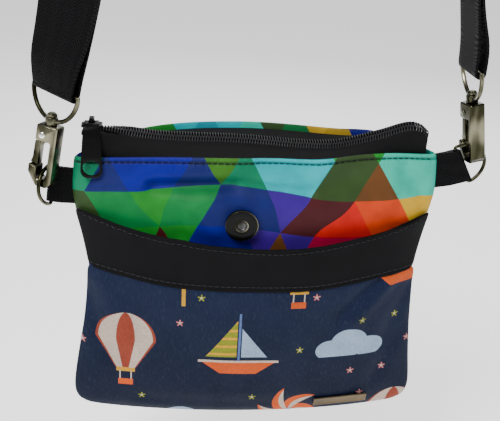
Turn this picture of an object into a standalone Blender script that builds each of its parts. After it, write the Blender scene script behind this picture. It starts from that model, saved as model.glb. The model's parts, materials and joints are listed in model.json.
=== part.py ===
"""A small crossbody bag that hangs from its strap.

The bag is modelled in its own frame: X to the wearer's right in the photo, Y to the back,
Z up from the bottom seam, and the front pocket faces -Y. The finished objects are moved so
that the inside of the strap's highest point is the world origin.
"""
import math

import bmesh
import bpy
from mathutils import Matrix, Vector

MM = 0.001

# Pouch
BAG_WIDTH = 200 * MM
BAG_HEIGHT = 152 * MM
FRONT_BULGE = 16 * MM
BACK_BULGE = 22 * MM
WALL = 2 * MM
CORNER_RADIUS = 11 * MM
BOTTOM_SEAM = 3 * MM
SIDE_SEAM = 3 * MM
CLEARANCE = 0.3 * MM

# Front pocket
POCKET_BULGE = 9 * MM
POCKET_CLOTH = 1.8 * MM
POCKET_SEAT = 0.45 * MM

# Zip
TAPE_THICKNESS = 1 * MM
TAPE_TUCK = 4 * MM
TAPE_SEAT = 0.9 * MM
TAPE_REACH = 0.93
COIL_WIDTH = 5.4 * MM
COIL_HEIGHT = 2.2 * MM
SLIDER_LENGTH = 11 * MM
SLIDER_WIDTH = 9.8 * MM
SLIDER_PLATE = 1.2 * MM
SLIDER_AT = -0.90
BRIDGE_WIDTH = 2.6 * MM
BRIDGE_WIRE = 1.4 * MM
BRIDGE_WINDOW = 4.2 * MM
PULL_LENGTH = 28 * MM
PULL_NECK_WIDTH = 7.6 * MM
PULL_END_WIDTH = 11.6 * MM
PULL_PLATE = 1.3 * MM

# Snap and plate
SNAP_DIAMETER = 18 * MM
SNAP_HEIGHT = 2.6 * MM
SNAP_SOCKET = 6.6 * MM
SNAP_ACROSS = -0.095
SNAP_UP = 0.778
PLATE_LENGTH = 32 * MM
PLATE_WIDTH = 7.2 * MM
PLATE_THICKNESS = 0.9 * MM
PLATE_ACROSS = 0.57
PLATE_UP = 0.034
PLATE_TILT = math.radians(4)

# Side tabs and their rings
TAB_WEBBING = 20 * MM
TAB_THICKNESS = 1.4 * MM
TAB_RING_WIRE = 2.2 * MM
TAB_RING_DEPTH = 14 * MM

# Hooks
HOOK_WIDTH = 12 * MM
HOOK_LENGTH = 34 * MM
HOOK_DEPTH = 9 * MM
HOOK_BLOCK = 9 * MM
HOOK_SPINE = 3.2 * MM
HOOK_FLOOR = 4.2 * MM
HOOK_NOSE = 10.8 * MM
GATE_THICKNESS = 3 * MM
GATE_DEPTH = 5 * MM
TONGUE_DEPTH = 4 * MM
PIN_DIAMETER = 2 * MM
POST_DIAMETER = 3.2 * MM
POST_HEAD = 5.4 * MM

# Strap and its rings
STRAP_WIDTH = 33 * MM
STRAP_THICKNESS = 1.6 * MM
STRAP_GATHER = 0.93
GATHER_REACH = 24 * MM
RING_WIRE = 2.6 * MM
RING_DEPTH = 17 * MM
EYE_HEIGHT = 4 * MM
FOLD_BACK = 62 * MM
LOOP_GAP = 3.6 * MM
PEG_RADIUS = 25 * MM
APEX_HEIGHT = 735 * MM
APEX_ACROSS = 12 * MM

# Outline from the front: height share, half-width share of half the bag's width
OUTLINE = (
    (0.00, 0.962), (0.05, 0.968), (0.21, 0.940), (0.43, 0.919), (0.57, 0.926),
    (0.71, 0.962), (0.85, 1.010), (1.00, 1.000),
)

# Front panel: height share, share of the front bulge
FRONT_PROFILE = (
    (0.00, 0.34), (0.05, 0.54), (0.26, 0.68), (0.50, 0.76), (0.68, 0.84),
    (0.78, 0.94), (0.85, 0.92), (0.92, 0.80), (1.00, 0.66),
)

# Back panel: height share, share of the back bulge
BACK_PROFILE = (
    (0.00, 0.14), (0.10, 0.34), (0.40, 0.62), (0.70, 0.76), (1.00, 1.00),
)

# Heights of the pouch's sections, shares of the rim's height
SECTIONS = (0.0, 0.012, 0.035, 0.08, 0.16, 0.27, 0.38, 0.49, 0.60, 0.68, 0.74, 0.79,
            0.84, 0.88, 0.92, 0.96, 1.0)
COLUMNS = 24

# Pocket standing off the front panel: height share, share of the pocket bulge
POCKET_PROFILE = (
    (0.00, 0.00), (0.05, 0.20), (0.26, 0.66), (0.50, 0.88), (0.72, 1.00), (0.85, 1.00),
)

# Rims: share of the half width, height share
FRONT_RIM = (
    (-1.00, 0.992), (-0.54, 1.011), (-0.06, 1.015), (0.34, 1.012),
    (0.55, 1.029), (0.74, 1.033), (1.00, 1.020),
)
BACK_RIM = (
    (-1.00, 0.992), (-0.65, 1.066), (-0.09, 1.086), (0.48, 1.070),
    (0.67, 1.074), (1.00, 1.020),
)

# Pocket band edges: share of the half width, height share
BAND_TOP = (
    (-1.00, 0.812), (-0.78, 0.770), (-0.55, 0.741), (-0.18, 0.714), (0.08, 0.705),
    (0.31, 0.710), (0.55, 0.732), (0.80, 0.761), (1.00, 0.807),
)
BAND_BOTTOM = (
    (-1.00, 0.574), (-0.80, 0.562), (-0.52, 0.538), (-0.24, 0.530), (0.02, 0.528),
    (0.34, 0.528), (0.64, 0.550), (1.00, 0.567),
)

# Coil line: share of the half width, depth share of the back bulge, height share
COIL_LINE = (
    (-1.00, 0.10, 1.086), (-0.90, 0.10, 1.086), (-0.80, 0.12, 1.084), (-0.54, 0.22, 1.058),
    (-0.10, 0.28, 1.047), (0.40, 0.24, 1.032), (0.67, 0.10, 1.079), (0.83, 0.03, 1.115),
    (0.91, 0.02, 1.100), (0.95, 0.02, 1.062),
)

# Dents of the front panel: place across, height, reach across, reach up, share of the bulge
DENTS = (
    (-0.12, 0.900, 0.40, 0.040, 0.15),
    (0.12, 0.980, 0.12, 0.050, 0.14),
    (-0.56, 0.870, 0.16, 0.080, 0.10),
    (0.50, 0.900, 0.14, 0.090, 0.12),
)

# Folds of the pocket, as the dents
POCKET_FOLDS = (
    (0.46, 0.440, 0.07, 0.120, 0.10),
    (-0.50, 0.300, 0.12, 0.160, 0.07),
    (0.02, 0.180, 0.30, 0.050, 0.06),
)

# Pull seen from the side, shares of its length: forward of the bridge, down
PULL_SIDE = (
    (0.000, 0.000), (0.200, 0.000), (0.245, 0.035), (0.275, 0.110), (0.300, 0.260),
    (0.345, 0.600), (0.390, 1.000),
)

# Tab cross-section along its length: share of the length, half thickness share
TAB_PROFILE = (
    (0.00, 0.55), (0.35, 0.62), (0.62, 0.86), (0.80, 1.00), (0.92, 0.88), (1.00, 0.42),
)

# Strap twist on the left leg: share of the leg, turn of its width from +X in degrees
LEFT_TWIST = ((0.00, -45), (0.06, -28), (0.16, -18), (0.45, -45), (0.80, -88), (1.00, -90))

# Each side: sign, ring bar's centre out from the seam, its height share, ring's turn from
# straight out to the front, its tilt up, catch angle on the ring, hook's turn, hook's lean,
# strap ring's turn
SIDES = {
    "left": (-1, 10 * MM, 0.885, 62, 12, 50, -24, 9, -45),
    "right": (1, 13 * MM, 0.972, 0, 27, 43, -76, -8, -90),
}

# Small tools

def clear_scene():
    for item in list(bpy.data.objects):
        bpy.data.objects.remove(item, do_unlink=True)


def curve(table, place, column=1):
    """Smooth value of a table's column at a place in its first column."""
    if place <= table[0][0]:
        return table[0][column]
    if place >= table[-1][0]:
        return table[-1][column]
    index = max(i for i in range(len(table) - 1) if table[i][0] <= place)

    def slope(i):
        low = max(i - 1, 0)
        high = min(i + 1, len(table) - 1)
        return (table[high][column] - table[low][column]) / (table[high][0] - table[low][0])

    start = table[index]
    end = table[index + 1]
    span = end[0] - start[0]
    t = (place - start[0]) / span
    return ((2 * t**3 - 3 * t**2 + 1) * start[column] + (t**3 - 2 * t**2 + t) * span * slope(index)
            + (3 * t**2 - 2 * t**3) * end[column] + (t**3 - t**2) * span * slope(index + 1))


def material(name, colour, roughness, metallic=0.0):
    made = bpy.data.materials.new(name)
    made.use_nodes = True
    shader = made.node_tree.nodes["Principled BSDF"]
    shader.inputs["Base Color"].default_value = (*colour, 1.0)
    shader.inputs["Roughness"].default_value = roughness
    shader.inputs["Metallic"].default_value = metallic
    made.diffuse_color = (*colour, 1.0)
    return made


def make_object(name, bm, look, frame=None):
    """Turn a bmesh into a named object with its own material."""
    bmesh.ops.recalc_face_normals(bm, faces=bm.faces)
    mesh = bpy.data.meshes.new(name)
    bm.to_mesh(mesh)
    bm.free()
    item = bpy.data.objects.new(name, mesh)
    bpy.context.scene.collection.objects.link(item)
    item.data.materials.append(material(name, *look))
    if frame is not None:
        item.matrix_world = frame
    return item


def cut_or_join(item, other, operation):
    """Boolean another object into this one and keep the other as a hidden helper."""
    step = item.modifiers.new(operation.title(), "BOOLEAN")
    step.operation = operation
    step.object = other
    other.hide_render = True
    other.display_type = "WIRE"
    bpy.context.view_layer.update()
    applied = bpy.data.meshes.new_from_object(item.evaluated_get(bpy.context.evaluated_depsgraph_get()))
    item.modifiers.clear()
    item.data = applied
    bpy.data.objects.remove(other, do_unlink=True)


def add_bevel(item, width, segments=1, angle=40):
    step = item.modifiers.new("Bevel", "BEVEL")
    step.width = width
    step.segments = segments
    step.limit_method = "ANGLE"
    step.angle_limit = math.radians(angle)


def loft(rings, closed_path=False):
    """Skin equal rings of points, capped unless the path closes on itself."""
    bm = bmesh.new()
    rows = [[bm.verts.new(point) for point in ring] for ring in rings]
    count = len(rows)
    sides = len(rows[0])
    for i in range(count if closed_path else count - 1):
        low = rows[i]
        high = rows[(i + 1) % count]
        for j in range(sides):
            k = (j + 1) % sides
            bm.faces.new((low[j], low[k], high[k], high[j]))
    if not closed_path:
        bm.faces.new(rows[0])
        bm.faces.new(rows[-1])
    return bm


def sheet(inner, outer):
    """Close two grids of points, rows by columns, into one thin solid."""
    bm = bmesh.new()
    grids = [[[bm.verts.new(point) for point in row] for row in grid] for grid in (inner, outer)]
    rows = len(inner)
    columns = len(inner[0])
    for grid in grids:
        for i in range(rows - 1):
            for j in range(columns - 1):
                bm.faces.new((grid[i][j], grid[i][j + 1], grid[i + 1][j + 1], grid[i + 1][j]))
    border = [(0, j) for j in range(columns)]
    border += [(i, columns - 1) for i in range(1, rows)]
    border += [(rows - 1, j) for j in range(columns - 2, -1, -1)]
    border += [(i, 0) for i in range(rows - 2, 0, -1)]
    for a, b in zip(border, border[1:] + border[:1]):
        bm.faces.new((grids[0][a[0]][a[1]], grids[0][b[0]][b[1]],
                      grids[1][b[0]][b[1]], grids[1][a[0]][a[1]]))
    return bm


def tube(path, radius, sides=8, closed=False, normal=Vector((0, 1, 0))):
    """A round wire along a path that lies in the plane with this normal."""
    rings = []
    count = len(path)
    for i, point in enumerate(path):
        before = path[i - 1] if closed or i else point
        after = path[(i + 1) % count] if closed or i < count - 1 else point
        along = (after - before).normalized()
        side = along.cross(normal).normalized()
        rings.append([point + side * (radius * math.cos(2 * math.pi * j / sides))
                      + normal * (radius * math.sin(2 * math.pi * j / sides)) for j in range(sides)])
    return loft(rings, closed)


def prism(outline, depth):
    """Extrude an outline of X and Z pairs by a depth centred on Y."""
    rings = [[Vector((x, y, z)) for x, z in outline] for y in (-depth / 2, depth / 2)]
    return loft(rings)


def cylinder(radius, low, high, sides=20):
    rings = [[Vector((radius * math.cos(2 * math.pi * j / sides),
                      radius * math.sin(2 * math.pi * j / sides), z)) for j in range(sides)]
             for z in (low, high)]
    return loft(rings)


def turned(profile, sides=24):
    """Spin a profile of radius and height pairs round Z."""
    rings = [[Vector((radius * math.cos(2 * math.pi * j / sides),
                      radius * math.sin(2 * math.pi * j / sides), z)) for j in range(sides)]
             for radius, z in profile]
    return loft(rings)


# Shape of the pouch

def half_width(up):
    width = curve(OUTLINE, up) * BAG_WIDTH / 2
    height = up * BAG_HEIGHT
    if height < CORNER_RADIUS:
        width -= CORNER_RADIUS - math.sqrt(CORNER_RADIUS**2 - (CORNER_RADIUS - height)**2)
    return width


def lens(across):
    return (1 - min(abs(across), 1.0)**2.3)**0.85


def dent(rows, across, up):
    total = 0.0
    for place, height, reach, rise, depth in rows:
        total += depth * math.exp(-((across - place) / reach)**2 - ((up - height) / rise)**2)
    return total


def front_depth(across, up):
    shape = curve(FRONT_PROFILE, up) - dent(DENTS, across, up)
    return WALL + FRONT_BULGE * shape * lens(across)


def back_depth(across, up):
    return WALL + BACK_BULGE * curve(BACK_PROFILE, up) * lens(across)


def front_rim(across):
    return curve(FRONT_RIM, across) * BAG_HEIGHT


def back_rim(across):
    return curve(BACK_RIM, across) * BAG_HEIGHT


def front_point(across, height, lift=0.0):
    """A point of the front panel, lifted off it by a distance."""
    up = height / front_rim(across)
    return Vector((across * half_width(up), -front_depth(across, up) - lift, height))


def pocket_point(across, height, lift=0.0):
    """A point of the pocket's inner face, lifted towards the front by a distance."""
    up = height / BAG_HEIGHT
    bulge = curve(POCKET_PROFILE, up) - dent(POCKET_FOLDS, across, up)
    return front_point(across, height, POCKET_SEAT + POCKET_BULGE * max(bulge, 0) * lens(across) + lift)


def shares(count, low=-1.0, high=1.0):
    """Evenly spread places that crowd a little towards both ends."""
    places = []
    for i in range(count + 1):
        t = i / count
        eased = t + 0.12 * math.sin(2 * math.pi * t) / -math.pi
        places.append(low + (high - low) * eased)
    return places


def make_body(look):
    """The hollow pouch, its outer and inner skins joined at the rim."""
    across = shares(COLUMNS)
    bm = bmesh.new()

    def ring(up, wall, floor, shrink):
        points = []
        for a in across:
            height = floor + (front_rim(a) - floor) * up
            share = height / front_rim(a)
            x = a * (half_width(share) - shrink)
            points.append(Vector((x, -front_depth(x / half_width(share), share) + wall, height)))
        for a in reversed(across):
            height = floor + (back_rim(a) - floor) * up
            share = height / back_rim(a)
            x = a * (half_width(share) - shrink)
            points.append(Vector((x, back_depth(x / half_width(share), share) - wall, height)))
        return [bm.verts.new(point) for point in points]

    outer = [ring(up, 0.0, 0.0, 0.0) for up in SECTIONS]
    inner = [ring(up, WALL, BOTTOM_SEAM, SIDE_SEAM) for up in SECTIONS[::2]]
    count = len(outer[0])
    for rings in (outer, inner):
        for low, high in zip(rings, rings[1:]):
            for j in range(count):
                k = (j + 1) % count
                bm.faces.new((low[j], low[k], high[k], high[j]))
        for j in range(count // 2 - 1):
            k = count - 1 - j
            bm.faces.new((rings[0][j], rings[0][j + 1], rings[0][k - 1], rings[0][k]))
    for j in range(count):
        k = (j + 1) % count
        bm.faces.new((outer[-1][j], outer[-1][k], inner[-1][k], inner[-1][j]))
    return make_object("bag_body", bm, look)


def make_pocket(panel_look, band_look):
    """The printed pocket front and the band on its mouth, one above the other."""
    across = shares(COLUMNS)

    def layer(name, rows, look):
        grids = [[[pocket_point(a, row(a), lift) for a in across] for row in rows]
                 for lift in (0.0, POCKET_CLOTH)]
        return make_object(name, sheet(*grids), look)

    def band_height(a, share):
        low = curve(BAND_BOTTOM, a) * BAG_HEIGHT
        high = curve(BAND_TOP, a) * BAG_HEIGHT
        return low + (high - low) * share

    under = [up for up in SECTIONS if up < 0.5]
    panel_rows = [lambda a, up=up: front_rim(a) * up for up in under]
    panel_rows.append(lambda a: band_height(a, 0.0) - CLEARANCE)
    layer("pocket_panel", panel_rows, panel_look)
    layer("pocket_band", [lambda a, share=i / 5: band_height(a, share) for i in range(6)], band_look)


# Zip

def coil_place(across):
    x = across * half_width(1.0)
    return Vector((x, curve(COIL_LINE, across, 1) * BACK_BULGE, curve(COIL_LINE, across, 2) * BAG_HEIGHT))


def slider_place():
    return coil_place(SLIDER_AT)


def slider_share(x):
    """One inside the slider's length and easing to nothing beside it."""
    distance = abs(x - slider_place().x) - SLIDER_LENGTH / 2
    return max(0.0, min(1.0, 1 - distance / (4 * MM)))


def make_tapes(look):
    """Each tape rises from inside its rim to the coil, and into the slider's side at its end."""
    slider_end = (slider_place().x + SLIDER_LENGTH / 2) / half_width(1.0)
    across = sorted(shares(26, -TAPE_REACH, TAPE_REACH) + [slider_end])
    made = []
    for name, sign, rim, depth in (("zipper_tape_front", -1, front_rim, front_depth),
                                   ("zipper_tape_back", 1, back_rim, back_depth)):
        faces = ([], [])
        for a in across:
            x = a * half_width(1.0)
            coil = coil_place(a)
            inside = slider_share(x)
            seat = depth(a, 1.0) - WALL - TAPE_SEAT - TAPE_THICKNESS / 2
            foot = Vector((x, sign * max(seat, TAPE_THICKNESS / 2 + CLEARANCE / 2), rim(a) - TAPE_TUCK))
            edge_out = (0.65 * MM, COIL_WIDTH / 2 + CLEARANCE)
            slope = (coil_place(a + 0.01).z - coil_place(a - 0.01).z) / (0.02 * half_width(1.0))
            under = COIL_HEIGHT / 2 + CLEARANCE + TAPE_THICKNESS / 2
            edge_down = (under * math.sqrt(1 + slope**2), 0.0)
            shoulder_out = (2.6 * MM, SLIDER_WIDTH / 2 + 1.6 * MM)
            shoulder_down = (2.2 * MM, 0.5 * MM)

            def mixed(out, down):
                apart = min(1.0, inside * 2)
                raised = max(0.0, inside * 2 - 1)
                return Vector((0, sign * (out[0] + (out[1] - out[0]) * apart),
                               -(down[0] + (down[1] - down[0]) * raised)))

            edge = coil + mixed(edge_out, edge_down)
            shoulder = coil + mixed(shoulder_out, shoulder_down)
            if sign * (foot.y - shoulder.y) < 0.4 * MM:
                foot.y = max(sign * foot.y, 0.0) * sign
            upright = Vector((x, foot.y * 0.9 + shoulder.y * 0.1, rim(a) + 1.5 * MM))
            middle = upright.lerp(foot.lerp(shoulder, 0.5), lens(a))
            spine = [foot, middle, shoulder, edge]
            low, high = [], []
            for i, point in enumerate(spine):
                along = (spine[min(i + 1, 3)] - spine[max(i - 1, 0)]).normalized()
                off = Vector((0, -along.z, along.y)) * (TAPE_THICKNESS / 2) * -sign
                low.append(point - off)
                high.append(point + off)
            faces[0].append(low)
            faces[1].append(high)
        made.append(make_object(name, sheet(*faces), look))
    return made


def make_coil(look):
    """The closed coil as one flexible band of oval section."""
    start = (slider_place().x - SLIDER_LENGTH * 0.12) / half_width(1.0)
    rings = []
    for a in shares(34, start, TAPE_REACH):
        point = coil_place(a)
        ahead = coil_place(a + 0.004)
        behind = coil_place(a - 0.004)
        along = (ahead - behind).normalized()
        up = along.cross(Vector((0, 1, 0))).normalized()
        up = up if up.z > 0 else -up
        side = up.cross(along)
        rings.append([point + side * (COIL_WIDTH / 2 * math.cos(2 * math.pi * j / 8))
                      + up * (COIL_HEIGHT / 2 * math.sin(2 * math.pi * j / 8)) for j in range(8)])
    return make_object("zipper_coil", loft(rings), look)


def make_slider(look):
    """Two plates on a post with side flanges, and a crosswise bridge on top for the pull."""
    half = SLIDER_LENGTH / 2
    plate_under = COIL_HEIGHT / 2 + 0.4 * MM
    plate_top = plate_under + SLIDER_PLATE

    def plate(low, high):
        outline = [(-half, -0.34), (-half, 0.34), (-half * 0.45, 0.5), (half * 0.8, 0.46),
                   (half, 0.36), (half, -0.36), (half * 0.8, -0.46), (-half * 0.45, -0.5)]
        return loft([[Vector((x, y * SLIDER_WIDTH, z)) for x, y in outline] for z in (low, high)])

    frame = Matrix.Translation(slider_place())
    slider = make_object("zipper_slider", plate(plate_under, plate_top), look, frame)
    helpers = [plate(-plate_top, -plate_under)]
    post = cylinder(1.1 * MM, -plate_top + 0.3 * MM, plate_top - 0.3 * MM, 10)
    bmesh.ops.translate(post, verts=post.verts, vec=Vector((-half + 2.0 * MM, 0, 0)))
    helpers.append(post)
    for side in (-1, 1):
        y = side * (SLIDER_WIDTH * 0.44 - 0.35 * MM)
        flange = loft([[Vector((x, y + dy, z)) for x, dy in
                        ((-half * 0.3, -0.4 * MM), (half * 0.75, -0.4 * MM),
                         (half * 0.75, 0.4 * MM), (-half * 0.3, 0.4 * MM))]
                       for z in (0.85 * MM, plate_under + 0.5 * MM)])
        helpers.append(flange)
    reach = BRIDGE_WINDOW / 2 + BRIDGE_WIRE
    rise = plate_top + 2.2 * MM + BRIDGE_WIRE
    arch = [(-reach, plate_top - 0.5 * MM), (-reach, rise - 1.0 * MM), (-reach + 1.0 * MM, rise),
            (reach - 1.0 * MM, rise), (reach, rise - 1.0 * MM), (reach, plate_top - 0.5 * MM),
            (reach - BRIDGE_WIRE, plate_top - 0.5 * MM), (reach - BRIDGE_WIRE, rise - BRIDGE_WIRE),
            (-reach + BRIDGE_WIRE, rise - BRIDGE_WIRE), (-reach + BRIDGE_WIRE, plate_top - 0.5 * MM)]
    bridge = loft([[Vector((x, y, z)) for y, z in arch] for x in (-BRIDGE_WIDTH / 2, BRIDGE_WIDTH / 2)])
    helpers.append(bridge)
    for i, helper in enumerate(helpers):
        cut_or_join(slider, make_object("slider_helper_%d" % i, helper, look, frame), "UNION")
    return slider


def pull_axis():
    """The pull's crossbar, in the bridge's window."""
    plate_top = COIL_HEIGHT / 2 + 0.4 * MM + SLIDER_PLATE
    return slider_place() + Vector((0, 0, plate_top + 1.1 * MM))


def make_pull(look):
    """A plate with a bent neck, a hole for the bridge and a round window in its end."""
    bar = 0.75 * MM
    places = [Vector((0, -forward * PULL_LENGTH, -down * PULL_LENGTH)) for forward, down in PULL_SIDE]
    rings = []
    travelled = 0.0
    for i, point in enumerate(places):
        if i:
            travelled += (point - places[i - 1]).length
        along = (places[min(i + 1, len(places) - 1)] - places[max(i - 1, 0)]).normalized()
        off = Vector((0, along.z, -along.y)) * (PULL_PLATE / 2)
        share = travelled / (PULL_LENGTH * 1.2)
        half = PULL_NECK_WIDTH / 2 + (PULL_END_WIDTH - PULL_NECK_WIDTH) / 2 * min(1.0, share * 1.15)
        if i == len(places) - 1:
            half *= 0.62
        rings.append([point + off + Vector((-half, 0, 0)), point + off + Vector((half, 0, 0)),
                      point - off + Vector((half, 0, 0)), point - off + Vector((-half, 0, 0))])
    rings.insert(0, [corner + Vector((0, bar, 0)) for corner in rings[0]])
    last = rings.pop()
    wide = [corner.copy() for corner in last]
    middle = sum(wide, Vector()) / 4
    before = [corner.lerp(other, 0.22) for corner, other in zip(wide, rings[-1])]
    for corner in before:
        corner.x = middle.x + math.copysign(PULL_END_WIDTH / 2, corner.x)
    rings += [before, last]
    frame = Matrix.Translation(pull_axis())
    pull = make_object("zipper_pull", loft(rings), look, frame)
    hole = bmesh.new()
    bmesh.ops.create_cube(hole, size=1.0)
    width = BRIDGE_WIDTH + 1.0 * MM
    bmesh.ops.scale(hole, verts=hole.verts, vec=Vector((width, 4.3 * MM, 4 * PULL_PLATE)))
    bmesh.ops.translate(hole, verts=hole.verts, vec=Vector((0, -bar - 2.15 * MM, 0)))
    cut_or_join(pull, make_object("pull_hole", hole, look, frame), "DIFFERENCE")
    low = places[-2].lerp(places[-1], 0.48)
    along = (places[-1] - places[-2]).normalized()
    window = cylinder(PULL_END_WIDTH * 0.30, -4 * PULL_PLATE, 4 * PULL_PLATE, 14)
    facing = Vector((0, along.z, -along.y)).to_track_quat("Z", "X").to_matrix().to_4x4()
    window_frame = frame @ Matrix.Translation(low) @ facing
    cut_or_join(pull, make_object("pull_window", window, look, window_frame), "DIFFERENCE")
    return pull


# Snap and plate

def surface_frame(place, across, height, step=4 * MM):
    """Place and facing of a flat piece on a panel: its Z axis points out of the cloth."""
    point = place(across, height)
    share = step / (BAG_WIDTH / 2)
    right = (place(across + share, height) - place(across - share, height)).normalized()
    up = (place(across, height + step) - place(across, height - step)).normalized()
    out = right.cross(up).normalized()
    up = out.cross(right)
    frame = Matrix((right, up, out)).transposed().to_4x4()
    frame.translation = point
    return frame


def snap_frame():
    frame = surface_frame(front_point, SNAP_ACROSS, SNAP_UP * BAG_HEIGHT, SNAP_DIAMETER / 3)
    return frame @ Matrix.Translation((0, 0, CLEARANCE + 0.35 * MM))


def make_snap(look):
    """A low round case with a socket in its middle."""
    radius = SNAP_DIAMETER / 2
    socket = SNAP_SOCKET / 2
    profile = ((radius * 0.90, 0.0), (radius, 0.5 * MM), (radius, SNAP_HEIGHT - 0.7 * MM),
               (radius * 0.93, SNAP_HEIGHT), (socket + 0.5 * MM, SNAP_HEIGHT),
               (socket, SNAP_HEIGHT - 0.4 * MM), (socket, 0.9 * MM))
    return make_object("magnetic_snap", turned(profile, 28), look, snap_frame())


def make_plate(look):
    """The small bare metal plate on the pocket's lower corner."""
    bm = bmesh.new()
    bmesh.ops.create_cube(bm, size=1.0)
    bmesh.ops.scale(bm, verts=bm.verts, vec=Vector((PLATE_LENGTH, PLATE_WIDTH, PLATE_THICKNESS)))

    def outside(across, height):
        return pocket_point(across, height, POCKET_CLOTH)

    frame = surface_frame(outside, PLATE_ACROSS, PLATE_UP * BAG_HEIGHT, 3 * MM)
    lift = CLEARANCE + PLATE_THICKNESS / 2 + 0.55 * MM
    frame = frame @ Matrix.Rotation(PLATE_TILT, 4, "Z") @ Matrix.Translation((0, 0, lift))
    plate = make_object("label_plate", bm, look, frame)
    add_bevel(plate, 0.25 * MM)
    return plate


# Side tabs, rings, hooks

def side_values(side):
    sign, out, height, turn, tilt, catch, hook_turn, lean, ring_turn = SIDES[side]
    return {
        "sign": sign, "out": out, "height": height * BAG_HEIGHT, "turn": math.radians(turn),
        "tilt": math.radians(tilt), "catch": math.radians(catch),
        "hook_turn": math.radians(hook_turn), "lean": math.radians(lean),
        "ring_turn": math.radians(ring_turn),
    }


def ring_frame(side):
    """Frame of a side tab's ring: X out along its depth, Z along its bar, Y its normal."""
    values = side_values(side)
    seam = values["sign"] * seam_reach(values["sign"], values["height"])
    centre = Vector((seam + values["sign"] * values["out"], 0, values["height"]))
    level = Vector((values["sign"] * math.cos(values["turn"]), -math.sin(values["turn"]), 0))
    out = level * math.cos(values["tilt"]) + Vector((0, 0, math.sin(values["tilt"])))
    bar = Vector((0, 0, math.cos(values["tilt"]))) - level * math.sin(values["tilt"])
    normal = bar.cross(out)
    frame = Matrix((out, normal, bar)).transposed().to_4x4()
    frame.translation = centre
    return frame


def tab_ring_half():
    return TAB_WEBBING / 2 + CLEARANCE + TAB_RING_WIRE / 2


def tab_ring_path():
    """The straight bar and the bow of a D ring in its own XZ plane."""
    half = tab_ring_half()
    bow = [Vector((TAB_RING_DEPTH * math.cos(angle), 0, half * math.sin(angle)))
           for angle in (math.pi * (i / 16 - 0.5) for i in range(17))]
    bar = [Vector((0, 0, half * share)) for share in (0.5, 0.0, -0.5)]
    return bow + bar


def make_tab_ring(side, look):
    return make_object("tab_ring_" + side, tube(tab_ring_path(), TAB_RING_WIRE / 2, 8, True),
                       look, ring_frame(side))


def seam_reach(sign, height):
    """How far out the side seam comes along a tab that is centred on a height."""
    rim = front_rim(sign)
    return max(half_width(min(1.0, (height + TAB_WEBBING * i / 20) / rim)) for i in range(-10, 11))


def make_tab(side, look):
    """Webbing from the side seam, round the ring's bar, as one lofted fold."""
    values = side_values(side)
    frame = ring_frame(side)
    sign = values["sign"]
    bar = frame.to_3x3() @ Vector((0, 0, 1))
    thick = TAB_RING_WIRE / 2 + CLEARANCE + TAB_THICKNESS
    end_reach = thick
    centre = frame.translation
    seam_height = values["height"] - math.sin(values["tilt"]) * values["out"] * 0.6
    seam = Vector((sign * (seam_reach(sign, seam_height) + CLEARANCE), 0, seam_height))
    out = (centre - seam).normalized()
    rings = []
    length = (centre - seam).length + end_reach
    for share, thickness in TAB_PROFILE:
        point = seam + out * (length * share)
        ease = min(1.0, share / 0.75)
        height = Vector((0, 0, 1)).lerp(bar, ease).normalized()
        side_way = height.cross(out).normalized() * -sign
        half = thick * thickness
        top = height * (TAB_WEBBING / 2 - CLEARANCE * 1.5 * ease)
        ring = [point + side_way * half - top, point + side_way * half + top,
                point - side_way * half + top, point - side_way * half - top]
        if share == 0.0:
            ring = [Vector((seam.x, corner.y, corner.z)) for corner in ring]
        rings.append(ring)
    tab = make_object("side_tab_" + side, loft(rings), look)
    bore = cylinder(TAB_RING_WIRE / 2 + CLEARANCE, -TAB_WEBBING, TAB_WEBBING, 14)
    cut_or_join(tab, make_object("tab_bore", bore, look, frame), "DIFFERENCE")
    return tab


def hook_frame(side):
    """Hook's frame with its jaw's outside at Z 0, its floor just under the ring's wire."""
    values = side_values(side)
    catch = values["catch"]
    ring = ring_frame(side)
    local = Vector((TAB_RING_DEPTH * math.cos(catch), 0, tab_ring_half() * math.sin(catch)))
    wire = ring @ local
    along = ring.to_3x3() @ Vector((-TAB_RING_DEPTH * math.sin(catch), 0,
                                    tab_ring_half() * math.cos(catch)))
    turn = Matrix.Rotation(values["lean"], 4, "Y") @ Matrix.Rotation(values["hook_turn"], 4, "Z")
    flat = turn.to_3x3().inverted() @ along.normalized()
    slope = abs(flat.z) / max(abs(flat.y), 0.2)
    drop = HOOK_DEPTH / 2 * slope + (HOOK_DEPTH / 2)**2 / (TAB_RING_DEPTH)
    rest = HOOK_FLOOR + CLEARANCE + TAB_RING_WIRE / 2 * math.sqrt(1 + slope**2) + drop
    frame = turn.copy()
    frame.translation = wire - turn.to_3x3() @ Vector((0, 0, rest))
    return frame


def gate_pivot():
    return Vector((-2.0 * MM, 0, HOOK_LENGTH - HOOK_BLOCK * 0.6))


def swing_height(x, gap=0.0):
    """Height at which an arc about the gate's pin, through the nose's inner corner, passes x."""
    pivot = gate_pivot()
    radius = math.hypot(-3.4 * MM - pivot.x, HOOK_NOSE - pivot.z) - gap
    return pivot.z - math.sqrt(radius**2 - (x - pivot.x)**2)


def hook_outline():
    """The hook from the front, open at the left between its nose and its block."""
    half = HOOK_WIDTH / 2
    inner = half - HOOK_SPINE
    block = HOOK_LENGTH - HOOK_BLOCK
    lip = -half - 2.0 * MM
    return ((-half, HOOK_LENGTH), (half, HOOK_LENGTH), (half, 3.0 * MM), (half - 2.4 * MM, 0.0),
            (-2.6 * MM, 0.0), (lip, 7.2 * MM), (lip, swing_height(lip)),
            (-3.4 * MM, HOOK_NOSE), (-3.4 * MM, 6.8 * MM), (-1.8 * MM, HOOK_FLOOR),
            (1.6 * MM, HOOK_FLOOR), (inner, 5.4 * MM), (inner, block), (-half, block))


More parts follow.
